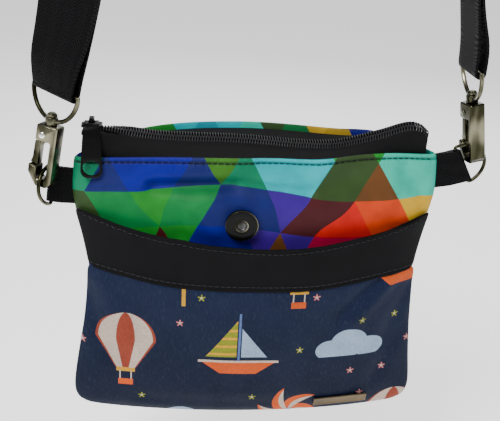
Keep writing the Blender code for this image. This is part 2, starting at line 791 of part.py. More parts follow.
def make_hook(side, look):
    """Jaw, spine and block in one outline, with the gate's slot, its pin and the swivel post."""
    frame = hook_frame(side)
    hook = make_object("hook_body_" + side, prism(hook_outline(), HOOK_DEPTH), look, frame)
    add_bevel(hook, 0.7 * MM)
    slot = bmesh.new()
    bmesh.ops.create_cube(slot, size=1.0)
    slot_size = Vector((HOOK_WIDTH * 0.72, TONGUE_DEPTH + 2 * CLEARANCE, HOOK_BLOCK * 0.86))
    bmesh.ops.scale(slot, verts=slot.verts, vec=slot_size)
    slot_at = Vector((-HOOK_WIDTH * 0.26, 0, HOOK_LENGTH - HOOK_BLOCK * 1.0 + HOOK_BLOCK * 0.34))
    bmesh.ops.translate(slot, verts=slot.verts, vec=slot_at)
    cut_or_join(hook, make_object("gate_slot", slot, look, frame), "DIFFERENCE")
    pin = cylinder(PIN_DIAMETER / 2, -HOOK_DEPTH / 2 - 0.35 * MM, HOOK_DEPTH / 2 + 0.35 * MM, 12)
    pin_frame = frame @ Matrix.Translation(gate_pivot()) @ Matrix.Rotation(math.pi / 2, 4, "X")
    cut_or_join(hook, make_object("gate_pin", pin, look, pin_frame), "UNION")
    neck = HOOK_LENGTH + CLEARANCE + EYE_HEIGHT + CLEARANCE
    post = turned(((POST_DIAMETER / 2, HOOK_LENGTH - 1.0 * MM), (POST_DIAMETER / 2, neck),
                   (POST_HEAD / 2, neck + 0.2 * MM), (POST_HEAD / 2, neck + 1.3 * MM),
                   (POST_HEAD * 0.3, neck + 2.2 * MM)), 14)
    cut_or_join(hook, make_object("swivel_post", post, look, frame), "UNION")
    return hook


def make_gate(side, look):
    """The sprung lever that closes the hook's mouth, with its origin on its pin."""
    pivot = gate_pivot()
    half = HOOK_WIDTH / 2
    block = HOOK_LENGTH - HOOK_BLOCK
    left = -half - 0.6 * MM
    right = left + GATE_THICKNESS
    tip = left - 1.2 * MM
    gap = 1.6 * CLEARANCE
    leg = prism([(x - pivot.x, z - pivot.z) for x, z in
                 ((tip, swing_height(tip, gap)), (right, swing_height(right, gap)),
                  (right, block - 0.9 * MM), (left, block - 0.9 * MM),
                  (left - 0.3 * MM, swing_height(tip, gap) + 2.6 * MM))], GATE_DEPTH)
    frame = hook_frame(side) @ Matrix.Translation(pivot)
    gate = make_object("hook_gate_" + side, leg, look, frame)
    tongue = prism([(x - pivot.x, z - pivot.z) for x, z in
                    ((left + 0.6 * MM, block - 4 * MM), (right - 0.1 * MM, block - 4 * MM),
                     (pivot.x + 2.2 * MM, pivot.z - 0.9 * MM), (pivot.x + 2.2 * MM, pivot.z + 0.8 * MM),
                     (pivot.x + 0.9 * MM, pivot.z + 2.1 * MM), (pivot.x - 0.9 * MM, pivot.z + 2.1 * MM),
                     (pivot.x - 2.4 * MM, pivot.z + 0.9 * MM))], TONGUE_DEPTH)
    cut_or_join(gate, make_object("gate_tongue", tongue, look, frame), "UNION")
    bore = cylinder(PIN_DIAMETER / 2 + CLEARANCE, -HOOK_DEPTH, HOOK_DEPTH, 12)
    bore_frame = frame @ Matrix.Rotation(math.pi / 2, 4, "X")
    cut_or_join(gate, make_object("gate_bore", bore, look, bore_frame), "DIFFERENCE")
    return gate


def strap_ring_frame(side):
    """Frame of a strap ring: its eye sits round the hook's post at Z 0, its bar lies along X."""
    values = side_values(side)
    turn = Matrix.Rotation(values["lean"], 4, "Y") @ Matrix.Rotation(values["ring_turn"], 4, "Z")
    frame = turn.copy()
    eye = hook_frame(side) @ Vector((0, 0, HOOK_LENGTH + CLEARANCE + EYE_HEIGHT / 2))
    frame.translation = eye
    return frame


def strap_ring_half():
    return STRAP_WIDTH * STRAP_GATHER / 2 + 3 * CLEARANCE + RING_WIRE / 2


def make_strap_ring(side, look):
    """A D of wire with a short eye at the middle of its bow."""
    half = strap_ring_half()
    path = [Vector((half * math.cos(angle), 0, RING_DEPTH - RING_DEPTH * math.sin(angle)))
            for angle in (math.pi * i / 20 for i in range(21))]
    path += [Vector((-half * share, 0, RING_DEPTH)) for share in (0.6, 0.2, -0.2, -0.6)]
    frame = strap_ring_frame(side)
    ring = make_object("strap_ring_" + side, tube(path, RING_WIRE / 2, 8, True), look, frame)
    outer = cylinder(POST_DIAMETER / 2 + CLEARANCE + 1.5 * MM, -EYE_HEIGHT / 2, EYE_HEIGHT / 2, 14)
    cut_or_join(ring, make_object("ring_eye", outer, look, frame), "UNION")
    bore = cylinder(POST_DIAMETER / 2 + CLEARANCE, -EYE_HEIGHT, EYE_HEIGHT, 14)
    cut_or_join(ring, make_object("ring_bore", bore, look, frame), "DIFFERENCE")
    return ring


# Strap

def ring_bar(side):
    return strap_ring_frame(side) @ Vector((0, 0, RING_DEPTH))


def leg_points(side, count=13):
    """Centre line of a strap leg from above its ring's bar to the peg's side."""
    sign = side_values(side)["sign"]
    start = ring_bar(side)
    radius = PEG_RADIUS + STRAP_THICKNESS / 2
    peg = Vector((APEX_ACROSS, 0, APEX_HEIGHT - PEG_RADIUS))
    gap = peg - start
    reach = math.hypot(gap.x, gap.z)
    lean = math.atan2(sign * -gap.x, gap.z)
    tangent = lean - math.asin(radius / reach) if reach > radius else 0.0
    end = peg + Vector((sign * radius * math.cos(tangent), 0, radius * math.sin(tangent)))
    points = []
    for i in range(count):
        share = (i / (count - 1))**1.35
        points.append(start.lerp(end, share))
    return points, tangent


def strap_section(point, along, width_way, width):
    """Flat section of the webbing, split into four columns so that its twist stays even."""
    side = (width_way - along * width_way.dot(along)).normalized()
    face = along.cross(side).normalized()
    half = STRAP_THICKNESS / 2
    ring = []
    for lift, order in ((half, (-1, -0.5, 0, 0.5, 1)), (-half, (1, 0.5, 0, -0.5, -1))):
        for share in order:
            ring.append(point + side * (width / 2 * share) + face * lift)
    return ring


def leg_sections(side):
    """Sections from a leg's folded end, round the ring's bar and up to the peg."""
    values = side_values(side)
    points, _ = leg_points(side)
    start, end = points[0], points[-1]
    up = (end - start).normalized()
    turn = values["ring_turn"]
    length = (end - start).length

    def width_way(distance):
        share = distance / length
        degrees = curve(LEFT_TWIST, share) if side == "left" else -90
        angle = math.radians(degrees)
        return Vector((math.cos(angle), math.sin(angle), 0))

    def width_at(distance):
        share = min(1.0, max(0.0, distance / GATHER_REACH))
        eased = share * share * (3 - 2 * share)
        return STRAP_WIDTH * (STRAP_GATHER + (1 - STRAP_GATHER) * eased)

    bar_way = Vector((math.cos(turn), math.sin(turn), 0))
    bar_way = (bar_way - up * bar_way.dot(up)).normalized()
    face = up.cross(bar_way).normalized()
    bend = RING_WIRE / 2 + 1.4 * CLEARANCE + STRAP_THICKNESS / 2
    sections = []
    away = face.y < 0 or (abs(face.y) < 0.3 and face.x * values["sign"] > 0)
    inward = face if away else -face

    def frame_at(distance):
        way = width_way(distance)
        way = (way - up * way.dot(up)).normalized()
        normal = up.cross(way).normalized()
        return way, normal if normal.dot(inward) > 0 else -normal

    for share in (1.0, 0.72, 0.48, 0.30, 0.17):
        distance = FOLD_BACK * share
        way, normal = frame_at(distance)
        spread = STRAP_THICKNESS + CLEARANCE + (LOOP_GAP - CLEARANCE) * math.exp(-((share - 0.2) / 0.2)**2)
        centre = start + up * distance - normal * (bend * math.exp(-share * 7))
        sections.append((centre + normal * spread, -up, way, width_at(distance)))
    for i in range(7):
        angle = math.pi * i / 6
        offset = inward * (bend * math.cos(angle)) - up * (bend * math.sin(angle))
        along = -inward * math.sin(angle) - up * math.cos(angle)
        sections.append((start + offset, along, bar_way, width_at(0)))
    for point in points[1:]:
        distance = (point - start).length
        for step in ((0.42, 0.84, 1.34) if point is points[1] else ()):
            extra = GATHER_REACH * step
            if extra < distance - GATHER_REACH / 6:
                way, normal = frame_at(extra)
                centre = start + up * extra - normal * (bend * math.exp(-extra / FOLD_BACK * 7))
                sections.append((centre, up, way, width_at(extra)))
        way, normal = frame_at(distance)
        centre = point - normal * (bend * math.exp(-distance / FOLD_BACK * 7))
        sections.append((centre, up, way, width_at(distance)))
    return sections


def make_strap(look):
    """One length of webbing: left fold, left leg, over the peg, right leg, right fold."""
    left = leg_sections("left")
    right = leg_sections("right")
    _, left_lean = leg_points("left")
    _, right_lean = leg_points("right")
    peg = Vector((APEX_ACROSS, 0, APEX_HEIGHT - PEG_RADIUS))
    radius = PEG_RADIUS + STRAP_THICKNESS / 2
    rings = []
    reference = None
    ordered = list(left)
    low = math.pi - left_lean
    high = right_lean
    for i in range(1, 12):
        angle = low + (high - low) * i / 12
        point = peg + Vector((radius * math.cos(angle), 0, radius * math.sin(angle)))
        along = Vector((math.sin(angle), 0, -math.cos(angle)))
        ordered.append((point, along, Vector((0, -1, 0)), STRAP_WIDTH))
    for point, along, way, width in reversed(right):
        ordered.append((point, -along, way, width))
    for point, along, way, width in ordered:
        if reference is not None and way.dot(reference) < 0:
            way = -way
        reference = way
        rings.append(strap_section(point, along, way, width))
    return make_object("strap", loft(rings), look)


# Put together

def main():
    clear_scene()
    print_look = ((0.02, 0.12, 0.42), 0.55)
    navy = ((0.012, 0.024, 0.06), 0.6)
    black = ((0.012, 0.012, 0.013), 0.75)
    lacquer = ((0.015, 0.015, 0.016), 0.3)
    nickel = ((0.62, 0.61, 0.58), 0.18, 1.0)
    brass = ((0.36, 0.30, 0.22), 0.32, 1.0)
    make_body(print_look)
    make_pocket(navy, black)
    make_tapes(black)
    make_coil(black)
    make_slider(lacquer)
    make_pull(lacquer)
    make_snap(lacquer)
    make_plate(brass)
    for side in SIDES:
        make_tab_ring(side, nickel)
        make_tab(side, black)
        make_hook(side, nickel)
        make_gate(side, nickel)
        make_strap_ring(side, nickel)
    make_strap(black)
    shift = Matrix.Translation((-APEX_ACROSS, 0, -APEX_HEIGHT))
    for item in bpy.data.objects:
        item.matrix_world = shift @ item.matrix_world
    bpy.context.view_layer.update()


main()
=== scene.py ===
"""Cloth, webbing, zip and metal of a small crossbody bag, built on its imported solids.

The bag hangs from its strap's highest point, the origin. X runs to the right of the front,
-Y out of the front pocket and Z up. Places on the pouch are written in the pouch's own
millimetres, counted from the middle of its bottom seam.
"""
import json
import math
from contextlib import contextmanager
from functools import cache

import bmesh
import bpy
from bpy.props import FloatProperty, FloatVectorProperty, PointerProperty
from bpy.types import Operator, Panel, PropertyGroup
from mathutils import Matrix, Vector
from mathutils.bvhtree import BVHTree


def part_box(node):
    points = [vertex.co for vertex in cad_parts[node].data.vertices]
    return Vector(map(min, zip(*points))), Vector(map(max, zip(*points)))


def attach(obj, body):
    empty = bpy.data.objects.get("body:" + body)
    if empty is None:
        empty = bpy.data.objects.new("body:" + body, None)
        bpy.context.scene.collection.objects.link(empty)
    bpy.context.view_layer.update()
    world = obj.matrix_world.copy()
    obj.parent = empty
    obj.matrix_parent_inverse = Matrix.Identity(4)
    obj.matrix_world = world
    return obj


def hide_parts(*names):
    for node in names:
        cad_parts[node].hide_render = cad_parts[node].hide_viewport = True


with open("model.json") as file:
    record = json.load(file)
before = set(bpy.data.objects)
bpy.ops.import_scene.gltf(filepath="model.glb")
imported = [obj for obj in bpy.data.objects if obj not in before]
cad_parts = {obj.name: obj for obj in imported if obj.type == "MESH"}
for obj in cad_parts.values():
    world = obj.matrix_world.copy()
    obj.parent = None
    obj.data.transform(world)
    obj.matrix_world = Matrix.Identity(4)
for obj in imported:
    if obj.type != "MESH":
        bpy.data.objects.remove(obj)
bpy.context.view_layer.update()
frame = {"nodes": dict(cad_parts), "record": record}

bl_info = {
    "name": "Crossbody Bag",
    "version": (1, 0, 0),
    "blender": (4, 5, 0),
    "location": "View3D > Sidebar > Bag",
    "description": "Cloth, webbing, zip and metal of a small crossbody bag",
    "category": "Add Mesh",
}

MM = 0.001
SEAM = Vector((-0.012, 0.0, -0.735))

# The pouch, in its own millimetres: its size, where its pieces lie, how its cloth hangs, how far
# the pocket's panel reaches under the band, how far the tabs go into the side seams, how far under
# the rim it is sewn, and how far off the rays start that look for its cloth
HALF_WIDTH = 100
COLUMNS = range(-HALF_WIDTH, HALF_WIDTH + 1)
RIM_HEIGHT = 152.0
SNAP_SPOT = (-9.3, 118)
PLATE_SPOT = (57, 6)
SAG = 4.2
SPREAD = 4.5
CORNER_SPREAD = 1.3
PANEL_RAISE = 1.1
CORNER_RAISE = 2.3
TAB_ROOT = 103.5
TAB_DRAWN_IN = 3.2
STITCH_DEPTH = 2.8
FAR = 80

# Heights in metres between which the strap's cut end lies on its left leg
STRAP_END = (-0.52, -0.4)

# The camera and the stage
EYE = Vector((-0.0712, -0.5079, -0.4193))
TARGET = Vector((-0.0152, 0.0, -0.6154))
ROLL = math.radians(2.7)
FOCAL_PIXELS = 980
IMAGE_WIDTH = 500
SENSOR = 36
FLOOR_HEIGHT = -0.8
BACKDROP = 0.45

# Lamps: place, size in metres and power in watts
LAMPS = {
    "key": ((-0.45, -0.55, 0.1), 0.4, 12.0),
    "fill": ((0.75, -0.55, -0.45), 0.9, 2.2),
    "top": ((0.05, 0.15, 0.2), 0.6, 5.0),
    "back": ((0.25, 0.8, -0.1), 0.8, 4.0),
}

# Profiles of turned pieces: radius and height over the face in mm
TIP = 0.02
SNAP_CASE = ((8.91, -0.5), (8.775, -0.22), (8.55, -0.12), (6.3, -0.1), (3.9, -0.1), (3.5, -0.35),
             (3.3, -1.2), (0, -1.25))
SNAP_SOCKET = ((3.25, -1.6), (3.35, -0.5), (3.1, -0.22), (2.75, -0.3), (2.45, -0.9), (2.2, -1.15),
               (1.3, -1.0), (0, -0.8))
SNAP_LIP = ((3.75, -0.25), (3.62, -0.02), (3.3, -0.1), (3.22, -0.5))
SNAP_EDGE = ((8.865, -0.9), (9.036, -0.8), (9.054, -0.3), (8.91, -0.1), (8.685, -0.08),
             (8.595, -0.3))
PIN_HEAD = ((1.8, -0.3), (1.8, 0.08), (1.6, 0.3), (0.9, 0.45), (0, 0.5))

# One turn of the zip's coil: steps along, across and up in mm, and how far each leans
TURN_STEPS = ((0.0, 0.0, 0.8, 0.5), (0.06, -0.45, 0.5, 0.6), (0.12, -0.85, 0.2, 0.45),
              (0.12, -1.0, -0.05, 0.0), (0.05, -0.5, -0.3, 0.6), (0.0, -0.1, -0.5, 0.4))
WIRE = 0.34
COIL_LEAN = math.radians(40)
COIL_STRETCH = (1.15, 1.1)

# The core's stretch from front to back and its shrinking in mm, the most that a tape is lifted
# towards the coil, and how far under the coil's middle it ends
CORE_DEPTH = 1.6
CORE_SHRINK = -0.25
TAPE_LIFT = 3.0
COIL_SINK = 0.3

# The window of the zip's pull: height over the pull's end and reach in mm, and its stretch
WINDOW_HEIGHT = 5.85
WINDOW_REACH = 4.0
WINDOW_WIDENING = 1.34
WINDOW_LOWERING = 1.3

# The plate's border and the width of the groove inside it in mm
BORDER = 0.5
GROOVE = 0.2

# Soft folds of the front: start, end, half width and height in mm, hollows below zero
FRONT_FOLDS = (
    ((-92, 134), (-64, 139), 4.5, 1.3),
    ((-58, 137), (-14, 139), 3.2, -4.0),
    ((-52, 130), (-22, 131), 5.0, 1.8),
    ((-62, 144), (-16, 147), 3.6, 1.6),
    ((-8, 139), (26, 135), 3.4, -2.2),
    ((0, 149), (26, 147), 3.6, -2.2),
    ((6, 142), (30, 141), 3.0, 1.2),
    ((-34, 127), (-24, 112), 4.0, 1.5),
    ((-48, 127), (-42, 110), 4.0, -1.2),
    ((30, 138), (52, 142), 5.0, -1.3),
    ((80, 148), (92, 133), 4.0, -1.9),
    ((70, 128), (88, 116), 6.0, 1.2),
    ((70, 82), (48, 62), 2.8, -2.4),
    ((78, 79), (58, 58), 3.6, 1.8),
    ((90, 74), (74, 40), 4.0, -1.2),
    ((-92, 70), (-80, 36), 4.0, -1.6),
    ((-84, 76), (-70, 44), 5.0, 1.4),
    ((-40, 52), (-18, 20), 8.0, -1.0),
    ((16, 52), (30, 16), 8.0, 1.0),
    ((84, 46), (70, 10), 5.0, -1.3),
    ((-60, 9), (40, 7), 4.0, -0.8),
)
BACK_FOLDS = (
    ((-70, 140), (20, 146), 4.5, -1.8),
    ((30, 138), (76, 120), 5.0, -1.7),
    ((-80, 120), (-40, 70), 7.0, 1.5),
    ((-20, 110), (30, 50), 9.0, -1.4),
    ((60, 96), (84, 30), 7.0, 1.5),
    ((-86, 60), (-60, 12), 6.0, -1.5),
    ((-40, 14), (50, 10), 5.0, -1.0),
    ((0, 132), (40, 96), 7.0, 1.2),
)

# Colours of the printed triangles from left to right: the row under the front's hem, the one
# above it, the two lower ones from the bottom up, and the back's row under its own hem
PRINT_ROWS = (
    "teal teal navy royal royal royal navy olive teal cyan "
    "cyan cyan moss moss brown mint mint mint mint mint",
    "teal teal teal royal royal royal royal yellow olive cyan "
    "cyan cyan cyan lime moss lime mint mint mint mint",
    "green olive green lime maroon lime royal royal royal purple "
    "brown purple crimson crimson ember ember yellow yellow yellow yellow",
    "moss moss moss green green lime green green navy navy "
    "navy purple maroon maroon red ember ember yellow yellow yellow",
    "mint mint mint cyan lime olive olive lime lime cyan "
    "cyan cyan mint moss green yellow yellow royal royal navy",
)
PRINT_COLUMNS = 20

# Where the rows of triangles lie in mm: the foot of the row under the hem, the left end, and how
# far the back's rows are shifted
ROW_FOOT = 130.2
ROW_START = -94.7
BACK_SHIFT = 31.0

# The pocket's motifs are drawn in mm and then enlarged
MOTIF_SCALE = 1.32

# Width in mm over which the webbing's ribs run up and down again
HERRINGBONE = 8.0

# How colours are toned: all for the lamps' brightness, and the prints also for their grey
LAMP_SHARE = 0.62
GREY_SHARE = 0.6
PRINT_SHARE = 0.85

# A dark room's reflection in plated metal, as a share of the plate's colour
DARK_REFLECTION = (0.13, 0.135, 0.1)


# Small tools

def on_bag(x, y, z):
    """A point given in the pouch's own millimetres."""
    return SEAM + Vector((x, y, z)) * MM


def to_bag(point):
    """The pouch's own millimetres of a point."""
    return (point - SEAM) / MM


def unit(value):
    """A number held between nothing and one."""
    return max(0.0, min(1.0, value))


def scaled(colour, share):
    return tuple(channel * share for channel in colour)


def column(x):
    """The whole millimetre across the pouch that a place is nearest to."""
    return round(max(-HALF_WIDTH, min(HALF_WIDTH, x)))


def spots_of(piece):
    """Each vertex of a piece, with its place in the pouch's own millimetres."""
    for vert in piece.data.vertices:
        yield vert, *to_bag(vert.co)


def activate(piece):
    bpy.ops.object.select_all(action="DESELECT")
    piece.select_set(True)
    bpy.context.view_layer.objects.active = piece


@contextmanager
def editing(piece, kind="FACE", everything=False):
    """Edit mode on one piece, with all or nothing of it selected."""
    activate(piece)
    bpy.ops.object.mode_set(mode="EDIT")
    bpy.ops.mesh.select_mode(type=kind)
    bpy.ops.mesh.select_all(action="SELECT" if everything else "DESELECT")
    try:
        yield bmesh.from_edit_mesh(piece.data)
    finally:
        bpy.ops.object.mode_set(mode="OBJECT")


def modify(piece, kind, **settings):
    """Add a modifier to a piece and apply it."""
    activate(piece)
    modifier = piece.modifiers.new(kind.title(), kind)
    for name, value in settings.items():
        setattr(modifier, name, value)
    bpy.ops.object.modifier_apply(modifier=modifier.name)


def round_off(piece, levels):
    modify(piece, "SUBSURF", levels=levels, render_levels=levels)


def bevel(piece, width, segments, angle):
    """Round every edge that is sharper than an angle in degrees."""
    modify(piece, "BEVEL", width=width, segments=segments, limit_method="ANGLE",
           angle_limit=math.radians(angle))


def fatten(piece, millimetres):
    """Move a piece's faces outwards, or inwards below zero."""
    with editing(piece, "VERT", everything=True):
        bpy.ops.transform.shrink_fatten(value=millimetres * MM)


def from_solid(node, name, quads=True):
    """A merged copy of a solid's mesh, made of quads where its triangles pair up."""
    piece = placed(name, frame["nodes"][node].data.copy())
    piece.data.name = name
    with editing(piece, everything=True):
        bpy.ops.mesh.remove_doubles(threshold=1e-5)
        if quads:
            bpy.ops.mesh.tris_convert_to_quads(face_threshold=math.radians(70),
                                               shape_threshold=math.radians(70))
        else:
            bpy.ops.mesh.dissolve_limited(angle_limit=math.radians(1.0))
    return piece


def dress(piece, angle, look, slot, *nodes, body="root"):
    """Smooth a finished piece, give it its look and its body, and hide the solids that it stands
    for.
    """
    activate(piece)
    bpy.ops.object.shade_smooth_by_angle(angle=math.radians(angle))
    piece.data.materials.clear()
    piece.data.materials.append(look)
    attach(piece, body)
    if nodes:
        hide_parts(*nodes)


def primitive(kind, name, **settings):
    """One of Blender's own primitives, with its place and turn in its mesh."""
    bpy.ops.object.select_all(action="DESELECT")
    getattr(bpy.ops.mesh, "primitive_" + kind + "_add")(**settings)
    piece = bpy.context.active_object
    piece.name = name
    bpy.ops.object.transform_apply(location=True, rotation=True, scale=True)
    return piece


def placed(name, data):
    """A new object in the scene, made of some data."""
    made = bpy.data.objects.new(name, data)
    bpy.context.scene.collection.objects.link(made)
    return made


def pointed(place, way, axis="Z"):
    """A frame at a place, with one of its axes along a direction."""
    return Matrix.Translation(place) @ way.to_track_quat(axis, "Y").to_matrix().to_4x4()


def turned(name, profile, place, sides=72):
    """A profile of radii and heights in mm, spun about the Z axis of a frame."""
    piece = primitive("circle", name, vertices=sides, radius=max(profile[0][0], 0.1) * MM,
                      location=(0, 0, profile[0][1] * MM))
    with editing(piece, "EDGE", everything=True):
        for (before, low), (after, high) in zip(profile, profile[1:]):
            share = max(after, TIP) / max(before, TIP)
            bpy.ops.mesh.extrude_edges_move(
                TRANSFORM_OT_translate={"value": (0, 0, (high - low) * MM)})
            bpy.ops.transform.resize(value=(share, share, 1.0), center_override=(0, 0, high * MM))
    with editing(piece, "VERT", everything=True):
        bpy.ops.mesh.remove_doubles(threshold=0.03 * MM)
        bpy.ops.mesh.normals_make_consistent(inside=False)
    piece.data.transform(place)
    return piece


def copies_of(piece, places, name):
    """One piece made of copies of a model, and the model itself taken away."""
    bm = bmesh.new()
    for place in places:
        start = len(bm.verts)
        bm.from_mesh(piece.data)
        bm.verts.ensure_lookup_table()
        bmesh.ops.transform(bm, matrix=place, verts=bm.verts[start:])
    mesh = bpy.data.meshes.new(name)
    bm.to_mesh(mesh)
    bm.free()
    bpy.data.objects.remove(piece)
    return placed(name, mesh)


def set_values(piece, name, values):
    attribute = piece.data.attributes.get(name) or piece.data.attributes.new(name, "FLOAT", "POINT")
    attribute.data.foreach_set("value", values)


def fold_height(folds, x, z):
    """Height in mm of the soft folds at a place on a panel."""
    total = 0.0
    for (ax, az), (bx, bz), width, height in folds:
        run = (bx - ax)**2 + (bz - az)**2
        share = unit(((x - ax) * (bx - ax) + (z - az) * (bz - az)) / run)
        away = math.hypot(x - ax - share * (bx - ax), z - az - share * (bz - az)) / width
        total += height * math.exp(-away * away)
    return total


def calm(x, z):
    """One on free cloth, and nothing under the snap, the plate and at the side seams."""
    snap = 1 - math.exp(-((math.dist((x, z), SNAP_SPOT) / 13)**4))
    plate = 1 - math.exp(-(((x - PLATE_SPOT[0]) / 21)**4 + ((z - PLATE_SPOT[1]) / 9)**4))
    edge = unit((100.5 - abs(x)) / 8)
    return snap * plate * edge * unit(z / 4)


def crumple(piece, back=False):
    """Move a front piece, and the pouch's back, by the folds that they share."""
    for vert, x, y, z in spots_of(piece):
        if back and y > 1.0:
            vert.co.y += fold_height(BACK_FOLDS, x, z) * calm(x, z) * MM * min(1.0, (y - 1) / 4)
        elif y < -1.0:
            vert.co.y -= fold_height(FRONT_FOLDS, x, z) * calm(x, z) * MM * min(1.0, (-y - 1) / 4)


def settle(piece):
    """Let the bottom seam sag in its middle and the left corner spread, as full cloth does."""
    for vert, x, _, z in spots_of(piece):
        low = unit((34 - z) / 30)
        side = unit((-x - 35) / 55) * unit((88 - z) / 70)
        vert.co.z -= SAG * MM * max(0.0, 1 - (x / 98)**2) * low * low * (3 - 2 * low)
        vert.co.x -= SPREAD * MM * side * side * (3 - 2 * side)


def press_under(piece, node, margin=2.5, gap=0.15, reach=6):
    """Push a piece's front face back behind a rigid solid that lies on it."""
    solid = frame["nodes"][node].data
    back = max(solid.polygons, key=lambda polygon: polygon.normal.y * polygon.area)
    out, origin = -back.normal, back.center
    low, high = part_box(node)
    for vert in piece.data.vertices:
        near = all(low[i] - margin * MM < vert.co[i] < high[i] + margin * MM for i in (0, 2))
        ahead = (vert.co - origin).dot(out) + gap * MM
        if near and 0 < ahead < reach * MM and vert.co.y < 0:
            vert.co -= out * ahead


def cloth(node, name, back=False):
    """A solid as a soft piece of the pouch, with its folds and its sag."""
    piece = from_solid(node, name)
    round_off(piece, 2)
    crumple(piece, back)
    settle(piece)
    return piece


def surface(piece):
    """A search tree of a piece's faces."""
    bm = bmesh.new()
    bm.from_mesh(piece.data)
    tree = BVHTree.FromBMesh(bm)
    bm.free()
    return tree


# Shaders

def maths(operation, swapped=False):
    """A method that passes a level, and what it meets, through one Math node."""
    def method(self, *others):
        values = (*others, self) if swapped else (self, *others)
        return self.look.level("ShaderNodeMath", {"operation": operation}, *values)
    return method


class Level:
    """A number that varies over a surface, so that shader maths reads as arithmetic."""

    def __init__(self, look, socket):
        self.look = look
        self.socket = socket

    __add__ = __radd__ = maths("ADD")
    __mul__ = __rmul__ = maths("MULTIPLY")
    __sub__ = maths("SUBTRACT")
    __rsub__ = maths("SUBTRACT", swapped=True)
    __truediv__ = maths("DIVIDE")
    __pow__ = maths("POWER")
    __abs__ = maths("ABSOLUTE")
    __lt__ = maths("LESS_THAN")
    __gt__ = maths("GREATER_THAN")
    floor = maths("FLOOR")
    fract = maths("FRACT")
    wave = maths("SINE")
    most = maths("MAXIMUM")
    power_of_e = maths("EXPONENT")
    arcsine = maths("ARCSINE")
    angle_over = maths("ARCTAN2")

    def __neg__(self):
        return self * -1.0

    def bell(self, width):
        """One at nothing, and easing to nothing at about twice the width."""
        return (-(self * self) / width**2).power_of_e()

    def ease(self, low, high, start=0.0, end=1.0):
        return self.look.level("ShaderNodeMapRange", {"interpolation_type": "SMOOTHSTEP"},
                               self, low, high, start, end)


class Look:
    """A material, its shader and the few nodes that its finish is written with."""

    def __init__(self, name, colour, roughness, metallic=0.0, **settings):
        self.material = bpy.data.materials.new(name)
        self.material.use_nodes = True
        self.tree = self.material.node_tree
        self.shader = self.tree.nodes["Principled BSDF"]
        self.set("Base Color", colour)
        self.set("Roughness", roughness)
        self.set("Metallic", metallic)
        for socket, value in settings.items():
            self.set(socket.replace("_", " ").title().replace("Ior", "IOR"), value)

    def set(self, name, value):
        self.plug(self.shader.inputs[name], value)

    def plug(self, socket, value):
        if isinstance(value, Level):
            value = value.socket
        if isinstance(value, bpy.types.NodeSocket):
            self.tree.links.new(value, socket)
        elif hasattr(socket.default_value, "__len__") and len(socket.default_value) == 4:
            socket.default_value = (*value[:3], 1.0)
        else:
            socket.default_value = value

    def node(self, kind, settings, *values, **named):
        """Any node: its kind, its settings, then the values or links of its sockets."""
        made = self.tree.nodes.new(kind)
        for name, value in settings.items():
            if name == "stops":
                ramp = made.color_ramp
                ramp.interpolation = "CONSTANT"
                while len(ramp.elements) < len(value):
                    ramp.elements.new(1.0)
                for element, (place, colour) in zip(ramp.elements, value):
                    element.position = place
                    element.color = (*colour[:3], 1.0)
            else:
                setattr(made, name, value)
        for index, value in enumerate(values):
            self.plug(made.inputs[index], value)
        for name, value in named.items():
            self.plug(made.inputs[name.replace("_", " ")], value)
        return made

    def level(self, kind, settings, *values, out=0, **named):
        return Level(self, self.node(kind, settings, *values, **named).outputs[out])

    def mix(self, share, first, second, blend="MIX"):
        """Two colours mixed by a share, or the second laid on the first by a blend."""
        made = self.node("ShaderNodeMix", {"data_type": "RGBA", "blend_type": blend}, share)
        self.plug(made.inputs[6], first)
        self.plug(made.inputs[7], second)
        return made.outputs[2]

    def place(self):
        """The pouch's own millimetres, across, to the back and up."""
        here = self.node("ShaderNodeTexCoord", {}).outputs["Object"]
        parts = self.node("ShaderNodeSeparateXYZ", {}, here)
        return tuple(Level(self, parts.outputs[i]) * (1 / MM) - SEAM[i] / MM for i in range(3))

    def noise(self, size, detail=2.0, roughness=0.5, stretch=(1, 1, 1), seed=0.0):
        """Soft noise whose features are about this many mm in size."""
        here = self.node("ShaderNodeTexCoord", {}).outputs["Object"]
        spread = self.node("ShaderNodeMapping", {}, here, (seed, seed * 0.7, 0), (0, 0, 0), stretch)
        return self.level("ShaderNodeTexNoise", {}, Vector=spread.outputs[0], Scale=1 / (size * MM),
                          Detail=detail, Roughness=roughness)

    def attribute(self, name):
        return self.level("ShaderNodeAttribute", {"attribute_name": name}, out=2)

    def chance(self, first, second):
        """A random number for each pair of whole numbers."""
        pair = self.node("ShaderNodeCombineXYZ", {}, first, second, 0.0).outputs[0]
        return self.level("ShaderNodeTexWhiteNoise", {"noise_dimensions": "2D"}, pair)

    def finished(self, colour, roughness, *heights):
        """The material, with height layers in mm of depth that are laid one on the other."""
        self.set("Base Color", colour)
        self.set("Roughness", roughness)
        normal = None
        for height, depth in heights:
            named = {"Height": height, "Strength": 1.0, "Distance": depth * MM}
            if normal is not None:
                named["Normal"] = normal
            normal = self.node("ShaderNodeBump", {}, **named).outputs[0]
        self.set("Normal", normal)
        return self.material


def linear(values):
    """A screen colour of 0 to 255 as linear light, for the brightness of these lamps."""
    return [LAMP_SHARE * (share / 12.92 if share <= 0.04045 else ((share + 0.055) / 1.055)**2.4)
            for share in (value / 255 for value in values)]


def printed(name, *values):
    """A colour of the cloth's prints, kept clear of grey."""
    shades = linear(values)
    clear = [max(0.0, shade - GREY_SHARE * min(shades)) * PRINT_SHARE for shade in shades]
    return FloatVectorProperty(name=name, description="Printed triangles and motifs", default=clear,
                               min=0.0, max=1.0, size=3, subtype="COLOR")


def sized(name, description, millimetres):
    return FloatProperty(name=name, description=description, default=millimetres * MM,
                         min=0.0, unit="LENGTH", precision=5)


def coloured(name, description, *values):
    return FloatVectorProperty(name=name, description=description, default=linear(values),
                               min=0.0, max=1.0, size=3, subtype="COLOR")


